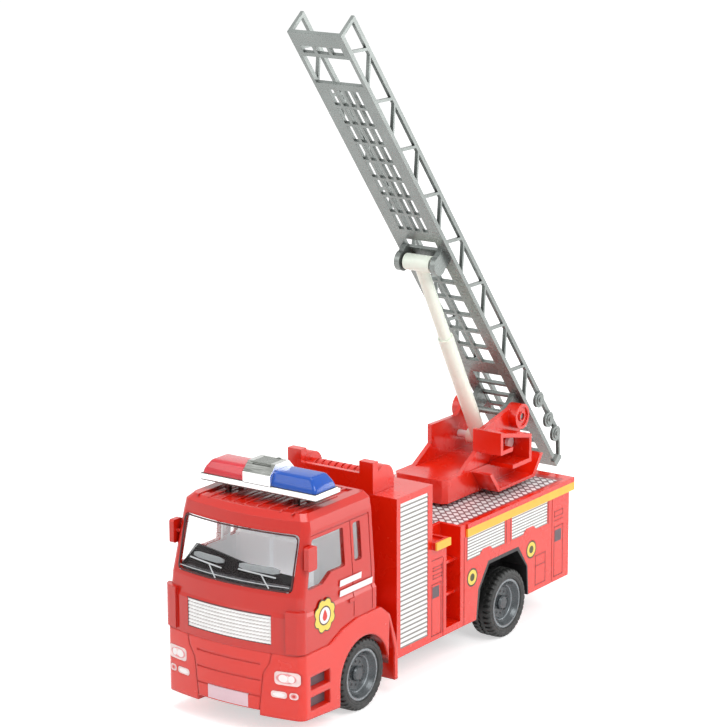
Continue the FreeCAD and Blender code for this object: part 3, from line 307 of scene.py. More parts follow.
def plating():
    """Bright plating with painted reflection: grey where it looks up, white at the sides, in streaks, with a
    painted shadow on the rail under the tray and a thin dark seam line of its moulding.
    """
    rail_top, seam_height, seam_half = 71.5, 73.2, 0.12
    made = Nodes("chrome")
    z = made.axis("Z")
    facing = made.new("SeparateXYZ")
    made.join(made.new("NewGeometry").outputs["Normal"], facing.inputs[0])
    # Painted reflection: the colour follows where the surface faces, streaked by noise
    reflection_streaks = made.math("MULTIPLY", made.less(made.noise(0.5, 3, stretch=(0.35, 1, 4)), 0.5), 0.5)
    upward = made.math("ADD", facing.outputs[2], reflection_streaks)
    painted_reflection = made.ramp(upward, [(0.0, linear(250, 250, 249)), (0.3, linear(246, 246, 244)),
                               (0.62, linear(128, 132, 126)), (0.85, linear(208, 210, 206))])
    # The rail under the tray is painted in shadow; the seam is a dark joint
    seam = made.math("LESS_THAN", made.size(made.less(z, seam_height)), seam_half)
    shadow_and_seam = made.math("MAXIMUM", made.math("LESS_THAN", z, rail_top), seam)
    made.shade(made.mix(shadow_and_seam, painted_reflection, linear(96, 92, 90)))
    made.set(Metallic=0.9, Roughness=0.14)
    made.bump(made.noise(0.5), 0.02, edge=0.25)
    return made.material


def seating():
    """Dark floor and dash in front of light grey seats, with painted light: the colour is also emitted, a
    glow though it is no lamp.
    """
    dash_end, seat_low = 13, 33
    made = Nodes("cab_dark")
    y, z = made.axis("Y"), made.axis("Z")
    seat = made.math("MULTIPLY", made.math("GREATER_THAN", y, FRONT_Y + dash_end),
                     made.math("GREATER_THAN", z, seat_low))
    light = made.ramp(made.noise(0.1), [(0.35, linear(240, 243, 246)), (0.65, linear(250, 252, 254))])
    surface = made.mix(seat, linear(24, 22, 25), light)
    made.shade(surface)
    # Painted light: the interior glows to look lit behind the glass
    made.shade(surface, "Emission Color")
    made.set(Emission_Strength=0.13, Roughness=0.45)
    made.bump(made.noise(1.2), 0.03)
    return made.material


RED = linear(228, 34, 8)
PAINT = linear(206, 30, 14)
SMOOTH = {"grain": 0.002, "scale": 0.06}
# Cab, body and ladder have painted shade in their recesses, the ladder the strongest
materials = {
    "cab_red": moulded("cab_red", PAINT, rough=0.2, coat=0.25, mottle=0.02, edge=0.3, painted_shade=0.25, **SMOOTH),
    "body_red": moulded("body_red", RED, rough=0.24, coat=0.35, mottle=0.025, edge=0.3, painted_shade=0.25, **SMOOTH),
    "yellow": moulded("yellow", linear(250, 190, 62), rough=0.4, mottle=0.05),
    "deck_print": tread_plate(),
    "clear": glassy("clear", [0.98, 0.99, 0.99, 1], rough=0.03, ior=1.08, coat=1.0, alpha=0.2),
    "cab_dark": seating(),
    "grille_silver": grille_print(),
    "plate_white": moulded("plate_white", linear(234, 202, 210), rough=0.4, mottle=0.03),
    "shutter_white": slatted(),
    "chrome": plating(),
    "lens_red": glassy("lens_red", linear(238, 44, 62), rough=0.14, clear=0.3, coat=0.5),
    "lens_blue": glassy("lens_blue", linear(0, 90, 200), rough=0.14, clear=0.25, coat=0.2),
    "chassis_black": moulded("chassis_black", linear(34, 34, 35), rough=0.45, mottle=0.15),
    "axle_steel": moulded("axle_steel", linear(165, 165, 168), rough=0.3, metallic=1.0),
    "rim_grey": moulded("rim_grey", linear(76, 81, 84), mottle=0.08, metallic=0.4, edge=0.25),
    "tyre_black": moulded("tyre_black", linear(31, 32, 31), rough=0.5, mottle=0.15, grain=0.03),
    "ladder_grey": moulded("ladder_grey", linear(138, 144, 141), rough=0.26, mottle=0.07, metallic=0.45,
                           scale=0.12, edge=0.15, painted_shade=0.8),
    "rivet_steel": moulded("rivet_steel", linear(252, 252, 252), rough=0.16, coat=1.0),
    "cylinder_white": moulded("cylinder_white", linear(246, 255, 240), rough=0.32, mottle=0.02),
}
extra = {
    "bumper": moulded("bumper", RED, rough=0.22, coat=0.3, mottle=0.02, edge=1.2, **SMOOTH),
    "lamp": moulded("lamp", linear(246, 216, 214), rough=0.15, coat=0.6, mottle=0.1, scale=0.6),
    "lamp_white": moulded("lamp_white", linear(255, 246, 246), rough=0.12, coat=0.8, mottle=0.03, scale=0.6),
    "lamp_pink": moulded("lamp_pink", linear(236, 150, 150), rough=0.2, coat=0.6, mottle=0.1, scale=0.6),
    "ink": moulded("ink", linear(150, 22, 20), rough=0.5, mottle=0.1),
    # Dark grey for printed squares and for the painted shade in the bumper's steps
    "dark_ink_and_shade": moulded("dark_ink_and_shade", linear(92, 78, 84), rough=0.45, mottle=0.1),
    "ink_brown": moulded("ink_brown", linear(70, 52, 34), rough=0.5, mottle=0.1),
    "ink_yellow": moulded("ink_yellow", linear(242, 214, 96), rough=0.45, mottle=0.05),
    "ink_green": moulded("ink_green", linear(70, 72, 36), rough=0.5, mottle=0.1),
    "ink_white": moulded("ink_white", linear(246, 236, 236), rough=0.45, mottle=0.03),
    "ink_red": moulded("ink_red", linear(212, 52, 44), rough=0.45, mottle=0.05),
    # The lining's glow is painted light that brightens the cab's inside
    "lining": moulded("lining", linear(250, 252, 254), rough=0.45, mottle=0.05, scale=0.06, glow=0.1),
    "pad": moulded("pad", linear(150, 154, 156), rough=0.35, mottle=0.08),
    "band": moulded("band", linear(74, 74, 78), rough=0.25, coat=0.4, mottle=0.1),
    "wiper": moulded("wiper", linear(196, 200, 202), rough=0.3, mottle=0.05),
    # Dark red for the windscreen's seal and the grille's painted shadow line
    "gasket_and_shadow": moulded("gasket_and_shadow", linear(70, 26, 26), rough=0.35, mottle=0.15),
    "panel": moulded("panel", linear(124, 128, 122), rough=0.25, metallic=0.3, mottle=0.1),
    # Light grey for the rims' painted highlight rings
    "ring": moulded("ring", linear(132, 138, 142), rough=0.25, metallic=0.4, mottle=0.05),
    "collar": moulded("collar", linear(92, 97, 100), metallic=0.35, mottle=0.05),
    "dash": moulded("dash", linear(16, 12, 14), rough=0.4, mottle=0.2, specular=0.2),
    # Near black for the painted shade of the rims' bolt holes
    "hollow": moulded("hollow", linear(28, 28, 30), rough=0.6, mottle=0.15),
}
NODE_SLOTS = {
    "cab_red": "cab_shell mirrors",
    "clear": "windscreen side_windows",
    "cab_dark": "cab_interior",
    "grille_silver": "grille",
    "body_red": "front_bumper body_shell ladder_rests rest_roller turntable",
    "plate_white": "number_plate",
    "chrome": "lightbar_base",
    "lens_red": "lens_right",
    "lens_blue": "lens_left",
    "deck_print": "deck_plate",
    "yellow": "yellow_band handle_knobs",
    "shutter_white": "side_shutters",
    "chassis_black": "chassis",
    "axle_steel": "front_axle rear_axle",
    "rim_grey": "front_rims rear_rims",
    "tyre_black": "front_tyres rear_tyres",
    "rivet_steel": "cylinder_rivet",
    "ladder_grey": "ladder hinge_pin ladder_pulleys",
    "cylinder_white": "lift_sleeve lift_rod",
}


def dress(name, material):
    mesh = nodes[name].data
    mesh.materials.clear()
    mesh.materials.append(material)


for slot, names in NODE_SLOTS.items():
    for name in names.split():
        dress(name, materials[slot])
dress("front_lights", extra["lamp"])
dress("front_bumper", extra["bumper"])


# Mesh helpers

def object_from(name, mesh_maker):
    """Object with the mesh that mesh_maker draws in millimetres."""
    work = bmesh.new()
    mesh_maker(work)
    bmesh.ops.recalc_face_normals(work, faces=work.faces)
    for vertex in work.verts:
        vertex.co *= MM
    mesh = bpy.data.meshes.new(name)
    work.to_mesh(mesh)
    work.free()
    made = bpy.data.objects.new(name, mesh)
    bpy.context.scene.collection.objects.link(made)
    return made


def soften(mesh, sharpest):
    """Smooth shading over edges up to an angle in degrees."""
    mesh.shade_smooth()
    mesh.set_sharp_from_angle(angle=math.radians(sharpest))


def piece(name, mesh_maker, body, material, smooth=None):
    """Piece that rides on a body; smooth is its sharpest soft angle."""
    made = object_from(name, mesh_maker)
    if smooth is not None:
        soften(made.data, smooth)
    made.data.materials.append(material)
    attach(made, body)
    return made


def plate(work, first, last):
    """Solid between two outlines with the same number of points."""
    work.faces.new(first)
    work.faces.new(list(reversed(last)))
    for index in range(len(first)):
        following = (index + 1) % len(first)
        work.faces.new([first[index], last[index], last[following], first[following]])


def skin(work, rings):
    """Faces between each ring of points and the next."""
    for first, last in zip(rings, rings[1:]):
        for index in range(len(first)):
            following = (index + 1) % len(first)
            work.faces.new([first[index], first[following], last[following], last[index]])


def prism(work, outline, x0, x1):
    """Outline of (y, z) points made solid between two values of x."""
    first, last = ([work.verts.new((x, y, z)) for y, z in outline] for x in (x0, x1))
    plate(work, first, last)


def block(work, x0, x1, y0, y1, z0, z1):
    prism(work, [(y0, z0), (y1, z0), (y1, z1), (y0, z1)], x0, x1)


def on_sides(work, outline, x0, x1):
    """Side outline of (station, height) points on both sides of the truck."""
    points = [(FRONT_Y + station, height) for station, height in outline]
    for side in (1, -1):
        prism(work, points, side * x0, side * x1)


def on_slope(work, outline, surface, thick):
    """Side outline laid on a surface x(height) on both sides, thick millimetres outwards."""
    for side in (1, -1):
        first, last = ([work.verts.new((side * (surface(height) + lift), FRONT_Y + station, height))
                        for station, height in outline] for lift in (0, thick))
        plate(work, first, last)


def oval(centre, half_width, half_height, steps):
    angles = [math.tau * step / steps for step in range(steps)]
    return [(centre[0] + half_width * math.cos(angle), centre[1] + half_height * math.sin(angle))
            for angle in angles]


def circle(centre, radius, steps):
    return oval(centre, radius, radius, steps)


def closed_skin(work, rings):
    """Faces between the rings, with the first and the last ring closed."""
    skin(work, rings)
    work.faces.new(list(reversed(rings[0])))
    work.faces.new(rings[-1])


def tube(work, path, radius, steps=10):
    """Round tube along a path of points, closed at its ends."""
    rings = []
    for index, point in enumerate(path):
        before = path[max(index - 1, 0)]
        after = path[min(index + 1, len(path) - 1)]
        heading = (Vector(after) - Vector(before)).normalized()
        side = heading.orthogonal().normalized()
        over = heading.cross(side)
        rings.append([work.verts.new(Vector(point) + side * a + over * b)
                      for a, b in circle((0, 0), radius, steps)])
    closed_skin(work, rings)


def closed_path(corners, count_between):
    """Points spread evenly between the corners, back to the first one."""
    path = []
    for first, last in zip(corners, corners[1:] + corners[:1]):
        count = count_between(first, last)
        path += [tuple(a + (b - a) * share / count for a, b in zip(first, last)) for share in range(count)]
    return path + [path[0]]


def lathe(work, profile, centre, steps):
    """Closed profile of (x, radius) points turned about an axle, on both sides."""
    for side in (1, -1):
        rings = [[work.verts.new((side * x, y, z)) for y, z in circle(centre, radius, steps)]
                 for x, radius in profile]
        skin(work, rings + rings[:1])


def surface_of(name):
    """A CAD node's faces, to be met by rays."""
    mesh = nodes[name].data
    return BVHTree.FromPolygons([vertex.co for vertex in mesh.vertices],
                                [polygon.vertices[:] for polygon in mesh.polygons])


# Turntable's right side: a plain wall, without the guard and tray of the left side

YAW_Y = joint_place("turntable_yaw").y
RIVET = joint_place("sleeve_swing")
# Values of x, then of y, then of z
WALL_FACE, WALL_FOOT_FACE, CREST_INNER, CUT_OUTER = -9.82, -10.42, -5, -25
CUT_FRONT, GUARD_REAR, TRAY_REAR = YAW_Y - 9, YAW_Y + 16.68, YAW_Y + 30
CUT_LOW, TRAY_TOP, GUARD_TOP, CREST_TOP = 45, 62.6, 72, 75


def guard_cut(work):
    block(work, CUT_OUTER, WALL_FACE, CUT_FRONT, GUARD_REAR, CUT_LOW, GUARD_TOP)


def tray_cut(work):
    block(work, CUT_OUTER, WALL_FOOT_FACE, CUT_FRONT, TRAY_REAR, CUT_LOW, TRAY_TOP)


def crest_cut(work):
    """What stands above the wall's level top, in front of the ear."""
    front, ear_front, ear_side = YAW_Y - 3, YAW_Y + 13, YAW_Y + 17.3
    outline = [(front, 66.5), (ear_front, 66.4), (ear_side, 70.3), (ear_side, CREST_TOP), (front, CREST_TOP)]
    prism(work, outline, CUT_OUTER, CREST_INNER)


def turntable_walls():
    """Copy of the turntable, its right side cut back to the wall and the ear."""
    cutters = [object_from(cut.__name__, cut) for cut in (guard_cut, tray_cut, crest_cut)]
    work = bmesh.new()
    work.from_mesh(nodes["turntable"].data)
    bmesh.ops.remove_doubles(work, verts=work.verts, dist=0.001 * MM)
    work.verts.index_update()
    mesh = bpy.data.meshes.new("turntable_walls")
    mesh.from_pydata([vertex.co[:] for vertex in work.verts], [],
                     [[vertex.index for vertex in face.verts] for face in work.faces])
    work.free()
    made = bpy.data.objects.new("turntable_walls", mesh)
    bpy.context.scene.collection.objects.link(made)
    for tool in cutters:
        change = made.modifiers.new(tool.name, "BOOLEAN")
        change.operation = "DIFFERENCE"
        change.solver = "EXACT"
        change.object = tool
    bpy.context.view_layer.update()
    changed = bpy.data.meshes.new_from_object(made.evaluated_get(bpy.context.evaluated_depsgraph_get()))
    made.modifiers.clear()
    made.data = changed
    for tool in cutters:
        bpy.data.objects.remove(tool)
    changed.materials.clear()
    changed.materials.append(materials["body_red"])
    soften(changed, 30)
    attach(made, "turntable")
    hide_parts("turntable")


def rivet_boss(work):
    """Stepped boss behind the rivet's right head."""
    foot = WALL_FACE + 0.12
    for radius, end in ((2.1, -11.2), (1.85, -11.35)):
        prism(work, circle((RIVET.y, RIVET.z), radius, steps=24), foot, end)


turntable_walls()
piece("rivet_boss", rivet_boss, "turntable", materials["body_red"], 30)


# Tyres with lugs, painted highlight rings on the rims, and dark discs of painted shade for the rims' bolt
# holes

LUGS, STEPS_PER_LUG = 36, 6
LUG_BASE, LUG_DEPTH, SIDE_LUG_DEPTH = 10.5, 0.5, 0.25
ZIGZAG_HALF_WIDTH, ZIGZAG_SWING = 0.8, 0.32
TREAD_START, SHOULDER = 1.5, 3.7
# From the bead up the side wall, over the shoulder and the tread to the middle groove
HALF_SECTION = [(3.4, 8.2), (3.6, 8.35), (3.88, 8.55), (3.98, 9.1), (3.98, 9.35), (3.9, 9.45), (3.9, 9.6),
                (4.0, 9.72), (3.98, 10.3), (3.86, 10.8), (3.62, 11.15), (3.3, 11.38), (2.9, 11.48),
                (2.2, 11.52), (1.55, 11.54), (1.45, 11.54), (0.75, 11.56), (0.42, 11.56), (0.32, 11.12)]
TYRE_MIDDLE = node_box("front_tyres")[1].x - max(x for x, radius in HALF_SECTION)
BOLTS, BOLT_CIRCLE, BOLT_FOOT, RIM_FACE = 10, 3.75, 22.3, 22.5
LIP_RING, STEP_RING = (7.55, 8.15), (5.55, 5.85)


def tyre(work, axle):
    section = HALF_SECTION + [(-x, radius) for x, radius in reversed(HALF_SECTION)]
    count = LUGS * STEPS_PER_LUG
    for side in (1, -1):
        rings = []
        for step in range(count):
            angle = math.tau * step / count
            swing = ZIGZAG_SWING * (1 - 4 * abs(step % STEPS_PER_LUG / STEPS_PER_LUG - 0.5))
            ring = []
            for x, radius in section:
                reach = abs(x)
                turned = (step + (0 if x > 0 else STEPS_PER_LUG // 2)) % STEPS_PER_LUG
                if TREAD_START < reach and radius > LUG_BASE and turned in (0, 1):
                    radius -= LUG_DEPTH if reach < SHOULDER else SIDE_LUG_DEPTH
                if reach < ZIGZAG_HALF_WIDTH:
                    x += swing
                ring.append(work.verts.new((side * (TYRE_MIDDLE + x), axle.y + radius * math.cos(angle),
                                            axle.z + radius * math.sin(angle))))
            rings.append(ring)
        skin(work, rings + rings[:1])


def bolt_discs(work, axle, radius, proud):
    """Discs on the rim's bolt circle, proud of its face."""
    for side in (1, -1):
        for number in range(BOLTS):
            angle = math.tau * (number + 0.5) / BOLTS
            centre = (axle.y + BOLT_CIRCLE * math.cos(angle), axle.z + BOLT_CIRCLE * math.sin(angle))
            prism(work, circle(centre, radius, steps=14), side * BOLT_FOOT, side * (RIM_FACE + proud))


def rim_highlight_rings(work, axle, rim):
    """Painted highlights: bright rings on the rim's lip and on its step."""
    sink, low, crown = 0.1, 0.03, 0.06
    for inner, outer in (LIP_RING, STEP_RING):
        middle = (inner + outer) / 2
        faces = []
        for radius in (inner, middle, outer):
            start = Vector((1, axle.y * MM, (axle.z + radius) * MM))
            faces.append(rim.ray_cast(start, Vector((-1, 0, 0)))[0].x / MM)
        lathe(work, [(faces[0] - sink, inner), (faces[0] + low, inner), (faces[1] + crown, middle),
                     (faces[2] + low, outer), (faces[2] - sink, outer)], (axle.y, axle.z), steps=72)


def wheel_pieces(end):
    axle = joint_place(end + "_axle_roll")
    rim = surface_of(end + "_rims")
    body = end + "_wheels"
    rubber = piece(end + "_tyre_tread", lambda work: tyre(work, axle), body,
                   materials["tyre_black"], 40)
    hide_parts(end + "_tyres")
    # Painted highlights: lighter rings where the rim's lip and step catch the light
    piece(end + "_rim_highlight_rings", lambda work: rim_highlight_rings(work, axle, rim), body, extra["ring"], 60)
    piece(end + "_bolt_collars", lambda work: bolt_discs(work, axle, radius=0.62, proud=0.06), body,
          extra["collar"], 30)
    # Painted shade: dark discs where the bolt holes lie in shadow
    piece(end + "_bolt_hole_shades", lambda work: bolt_discs(work, axle, radius=0.42, proud=0.1), body,
          extra["hollow"], 30)


for end in ("front", "rear"):
    wheel_pieces(end)


# Printed lines, squares and rings on the body's sides

BODY_SIDE = node_box("chassis")[1].x
PRINT_LOW, PRINT_RISE, LINE = BODY_SIDE - 0.15, 0.03, 0.32
# First and last station, lowest and highest point
FRAMES = ((73.9, 79.1, 34.4, 35.8), (73.9, 79.1, 31.8, 33.3), (73.2, 78.7, 12.9, 30.3),
          (147.1, 152.8, 33.9, 36.0), (147.1, 152.9, 12.9, 30.6), (135.3, 141.8, 13.1, 23.6))
SQUARES = ((73.7, 77.5, 25.5, 29.3), (147.6, 151.7, 25.2, 29.2))
LEVEL_LINES = ((73.2, 79.4, 38.0), (147.1, 152.8, 32.5), (135.3, 141.8, 19.7))
UPRIGHT_LINES = ((79.1, 13.0, 36.4), (93.5, 32.7, 41.0), (117.0, 32.7, 41.0), (119.6, 32.7, 41.0),
                 (143.4, 32.7, 41.0))
RING_PLACES = ((96.8, 26.5), (132.75, 26.5))
RINGS = (("ring_rims", 3.1, 0.02, "ink_brown"), ("ring_bands", 2.55, 0.035, "ink_yellow"),
         ("ring_centres", 1.3, 0.05, "ink_green"))


def strip(work, s0, s1, z0, z1):
    """Printed rectangle."""
    on_sides(work, [(s0, z0), (s1, z0), (s1, z1), (s0, z1)], PRINT_LOW, BODY_SIDE + PRINT_RISE)


def panel_lines(work):
    for s0, s1, z0, z1 in FRAMES:
        strip(work, s0, s1, z0, z0 + LINE)
        strip(work, s0, s1, z1 - LINE, z1)
        strip(work, s0, s0 + LINE, z0, z1)
        strip(work, s1 - LINE, s1, z0, z1)
    for s0, s1, height in LEVEL_LINES:
        strip(work, s0, s1, height, height + LINE)
    for station, low, high in UPRIGHT_LINES:
        strip(work, station, station + LINE, low, high)


def panel_squares(work):
    for square in SQUARES:
        strip(work, *square)


def ring_discs(work, radius, rise):
    for place in RING_PLACES:
        on_sides(work, circle(place, radius, steps=28), PRINT_LOW, BODY_SIDE + rise)


piece("panel_lines", panel_lines, "truck", extra["ink"])
piece("panel_squares", panel_squares, "truck", extra["dark_ink_and_shade"])
for name, radius, rise, ink in RINGS:
    piece(name, lambda work: ring_discs(work, radius, rise), "truck", extra[ink])


# Stripes and a round badge on the cab's doors

WAIST_HEIGHT, WINDOW_RISE = 44.5, 19
SIDE_LEAN, SCREEN_FOOT, SCREEN_LEAN, BOW = 1.2, 1.2, 4.7, 3.6
BADGE = (15.6, 36.5)
BADGE_LOW, LOBES, LOBE_DEPTH = BODY_SIDE - 0.1, 8, 0.75


def above_waist(height):
    """Height above the waist as a share of the windows' height."""
    return (height - WAIST_HEIGHT) / WINDOW_RISE


def bow(x):
    """How far the cab's bowed front falls back at x."""
    return BOW * (x / BODY_SIDE) ** 2


def cab_side(height):
    """Just outside the cab wall at a height."""
    return BODY_SIDE + 0.005 - SIDE_LEAN * max(0, above_waist(height))


def door_stripes(work):
    on_slope(work, [(23.4, 43.3), (34.6, 43.3), (34.9, 45.2), (23.7, 45.2)], cab_side, PRINT_RISE)
    on_slope(work, [(23.3, 40.1), (40.4, 40.1), (40.7, 42.0), (23.6, 42.0)], cab_side, PRINT_RISE)


def lobed(radius):
    """Outline of the badge, with a notch between each lobe and the next."""
    points = []
    for angle in (math.tau * step / 48 for step in range(48)):
        reach = radius - LOBE_DEPTH * (0.5 + 0.5 * math.cos(LOBES * angle)) ** 2
        points.append((BADGE[0] + reach * math.cos(angle), BADGE[1] + reach * math.sin(angle)))
    return points


def drop():
    """Outline of the drop in the badge's middle."""
    half = [(0.9, 0.6), (1.2, -0.4), (0.9, -1.2), (0.3, -1.6)]
    points = [(0, 2.0)] + half + [(-s, z) for s, z in reversed(half)]
    return [(BADGE[0] + s, BADGE[1] + z) for s, z in points]


BADGE_LAYERS = (("badge_rim", lobed(5.6), 0.03, "ink_brown"),
                ("badge_band", lobed(5.2), 0.045, "ink_yellow"),
                ("badge_middle", circle(BADGE, 3.05, steps=28), 0.06, "ink_brown"),
                ("badge_field", circle(BADGE, 2.6, steps=28), 0.075, "ink_white"),
                ("badge_drop", drop(), 0.09, "ink_red"))
piece("door_stripes", door_stripes, "truck", extra["ink_white"])
for name, outline, rise, ink in BADGE_LAYERS:
    piece(name, lambda work: on_sides(work, outline, BADGE_LOW, BODY_SIDE + rise), "truck",
          extra[ink])


# Inside the cab, and the wipers

LINING_SIDE, LINING_THICK, REAR_WALL_HALF = 23.1, 0.25, 21.6


def glass_station(x, height, behind=0.0):
    """Station of the windscreen's outer surface, which leans back and is bowed."""
    return SCREEN_FOOT + SCREEN_LEAN * above_waist(height) + bow(x) + behind


def on_glass_line(points, behind):
    """Points (x, height) on the windscreen."""
    return [(x, FRONT_Y + glass_station(x, height, behind), height) for x, height in points]


def lining_side(height):
    return LINING_SIDE - SIDE_LEAN * max(0, above_waist(height))


def cab_lining(work):
    """Rear wall, roof and side walls, with the side windows left free."""
    floor, waist, sill_top, head, roof = 33.2, 44.6, 48.7, 61.2, 66.2
    sill = [(7.3, waist), (41.2, waist), (41.0, sill_top), (20.4, sill_top), (18.0, 46.1), (7.3, 46.1)]
    on_sides(work, [(15, floor), (41.2, floor), (41.2, waist), (15, waist)], LINING_SIDE, LINING_SIDE + 0.3)
    pillar = [(27.4, sill_top), (32.0, sill_top), (32.0, head), (27.4, head)]
    corner = [(36.2, sill_top), (41.0, sill_top), (40.6, head), (36.2, head)]
    header = [(11.0, head), (40.6, head), (40.4, 65.0), (11.8, 65.0)]
    for outline in (sill, pillar, corner, header):
        on_slope(work, outline, lining_side, LINING_THICK)
    face, top_face, thick = FRONT_Y + 41.3, FRONT_Y + 40.7, 0.2
    prism(work, [(face, floor), (face + thick, floor), (face + thick, waist), (top_face + thick, roof),
                 (top_face, roof), (face, waist)], -REAR_WALL_HALF, REAR_WALL_HALF)
    block(work, -REAR_WALL_HALF, REAR_WALL_HALF, FRONT_Y + 13.4, FRONT_Y + 40.5, roof, roof + 0.3)


def cab_dash(work):
    """Dashboard top: along the glass in front, and rising to the right at the back."""
    half, low, front_height, steps = 21.4, 45.6, 47.2, 14
    outline, heights = [], []
    for step in range(steps + 1):
        x = -half + 2 * half * step / steps
        outline.append((x, FRONT_Y + glass_station(x, 46.6, 1.9)))
        heights.append(front_height)
    for x, station, height in ((half, 12.5, 47.9), (13.0, 11.1, 48.6), (-2.0, 10.6, 50.0), (-9.3, 11.3, 50.9),
                               (-17.9, 12.7, 51.5), (-half, 13.4, 51.7)):
        outline.append((x, FRONT_Y + station))
        heights.append(height)
    bottom = [work.verts.new((x, y, low)) for x, y in outline]
    top = [work.verts.new((x, y, height)) for (x, y), height in zip(outline, heights)]
    plate(work, bottom, top)


def on_glass(work, x0, x1, z0, z1, behind, thick):
    """Plate laid along the windscreen, with its corners cut."""
    spacing, corner_share = 2.0, 0.25
    steps = max(2, round((x1 - x0) / spacing))
    rings = []
    for step in range(steps + 1):
        x = x0 + (x1 - x0) * step / steps
        cut = (z1 - z0) * corner_share if step in (0, steps) else 0.0
        low, high = z0 + cut, z1 - cut
        ring = ((low, behind), (high, behind), (high, behind + thick), (low, behind + thick))
        rings.append([work.verts.new((x, FRONT_Y + glass_station(x, height, back), height))
                      for height, back in ring])
    closed_skin(work, rings)


def screen_band(work):
    on_glass(work, -20.9, 20.9, 45.9, 47.3, behind=1.65, thick=0.3)


def wiper_pads(work):
    for x0, x1, z0, z1 in ((1.7, 15.8, 50.0, 51.9), (-16.7, -4.3, 50.1, 51.8)):
        on_glass(work, x0, x1, z0, z1, behind=1.7, thick=0.5)


def wipers(work):
    """Two wipers with their arms, and the two lines along the glass's foot."""
    blade_radius, arm_radius, line_radius = 0.24, 0.2, 0.13
    for shift in (0.0, -19.5):
        blade = [(2.9 + shift, 50.5), (9.0 + shift, 50.2), (16.0 + shift, 49.7)]
        arm = [(11.0 + shift, 50.1), (12.6 + shift, 48.2), (14.2 + shift, 46.4)]
        tube(work, on_glass_line(blade, behind=-0.12), blade_radius)
        tube(work, on_glass_line(arm, behind=-0.15), arm_radius)
    for height in (47.3, 45.95):
        across = [(x, height) for x in (-20.6, -15, -10, -5, 0, 5, 10, 15, 20.6)]
        tube(work, on_glass_line(across, behind=-0.05), line_radius)


piece("cab_lining", cab_lining, "truck", extra["lining"])
piece("cab_dash", cab_dash, "truck", extra["dash"])
piece("screen_band", screen_band, "truck", extra["band"], 30)
piece("wiper_pads", wiper_pads, "truck", extra["pad"], 30)
piece("wipers", wipers, "truck", extra["wiper"], 60)


# Lamps, and dark plates of painted shade in the bumper's steps

# Distance from the middle, height, half width and half height
RIM_OVALS = ((20.6, 19.3, 3.3, 1.6), (23.0, 14.0, 1.0, 0.75))
SPOT_OVALS = ((19.6, 19.3, 1.45, 1.2), (22.3, 19.3, 1.0, 1.15), (18.2, 14.0, 2.0, 0.65))
DOT_OVALS = ((23.0, 14.0, 0.5, 0.42),)
lamp_faces = surface_of("front_lights")


def lamp_ovals(work, ovals, proud):
    """Ovals laid on the faces of the lamps."""
    sink = 0.3
    for x, height, half_width, half_height in ovals:
        for side in (1, -1):
            outline = oval((side * x, height), side * half_width, half_height, steps=24)
            faces = [lamp_faces.ray_cast(Vector((a * MM, -1, c * MM)), Vector((0, 1, 0)))[0].y / MM
                     for a, c in outline]
            front = [work.verts.new((a, y - proud, c)) for (a, c), y in zip(outline, faces)]
            rear = [work.verts.new((a, y + sink, c)) for (a, c), y in zip(outline, faces)]
            plate(work, front, rear)


def step_hollows(work):
    """Dark plates behind the bumper's steps, painted shade in their openings."""
    front, rear, inner, outer = 7.55, 17.45, 23.2, 23.7
    for low, high in ((8.6, 12.7), (15.1, 19.2)):
        on_sides(work, [(front, low), (rear, low), (rear, high), (front, high)], inner, outer)


for name, ovals, proud, material in (("lamp_rims", RIM_OVALS, 0.02, "lamp_pink"),
                                     ("lamp_spots", SPOT_OVALS, 0.05, "lamp_white"),
                                     ("lamp_dots", DOT_OVALS, 0.05, "ink_red")):
    piece(name, lambda work: lamp_ovals(work, ovals, proud), "truck", extra[material])
# The step plates are painted shade in the step openings
piece("step_hollows", step_hollows, "truck", extra["dark_ink_and_shade"])


# Light bar's lenses

def lens(work, side):
    """Lens with rounded edges, just inside the CAD's lens."""
    inset, waist_rise, slope_x, slope_y, rounding = 0.1, 1.2, 2.5, 1.5, 1.0
    above_foot, below_top = 0.02, 0.05
    corner, far_corner = node_box("lens_left")
    x0, x1 = corner.x + inset, far_corner.x - inset
    y0, y1 = corner.y + inset, far_corner.y - inset
    top_x1, top_y0, top_y1 = x1 - slope_x, y0 + slope_y, y1 - slope_y
    low = [(x0, y0), (x1, y0), (x1, y1), (x0, y1)]
    high = [(x0, top_y0), (top_x1, top_y0), (top_x1, top_y1), (x0, top_y1)]
    levels = ((low, corner.z + above_foot), (low, corner.z + waist_rise), (high, far_corner.z - below_top))
    bottom, waist, top = ([work.verts.new((side * x, y, height)) for x, y in outline]
                          for outline, height in levels)
    work.faces.new(bottom)
    work.faces.new(list(reversed(top)))
    skin(work, [bottom, waist, top])
    round_edges = [edge for edge in work.edges
                   if max(vertex.co.z for vertex in edge.verts) > corner.z + waist_rise / 2
                   and max(abs(vertex.co.x) for vertex in edge.verts) > (x0 + x1) / 2]
    bmesh.ops.bevel(work, geom=round_edges, offset=rounding, segments=5, profile=0.5, affect="EDGES",
                    clamp_overlap=True)


for side, name, tint in ((1, "lens_left", "lens_blue"), (-1, "lens_right", "lens_red")):
    dome = piece(name + "_dome", lambda work: lens(work, side), "truck", materials[tint], 50)
    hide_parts(name)


# Painted shadow line round the grille, and the seal round the windscreen

def grille_shadow_line(work):
    """Painted shadow line round the grille, along the cab's bow."""
    low, high = node_box("grille")
    margin, sink = 0.1, 0.12
    left, right, foot, head = low.x - margin, high.x + margin, low.z - margin, high.z + margin
    path = closed_path([(left, foot), (right, foot), (right, head), (left, head)], lambda first, last: 8)
    tube(work, [(x, low.y + bow(x) + sink, z) for x, z in path], radius=0.3, steps=8)


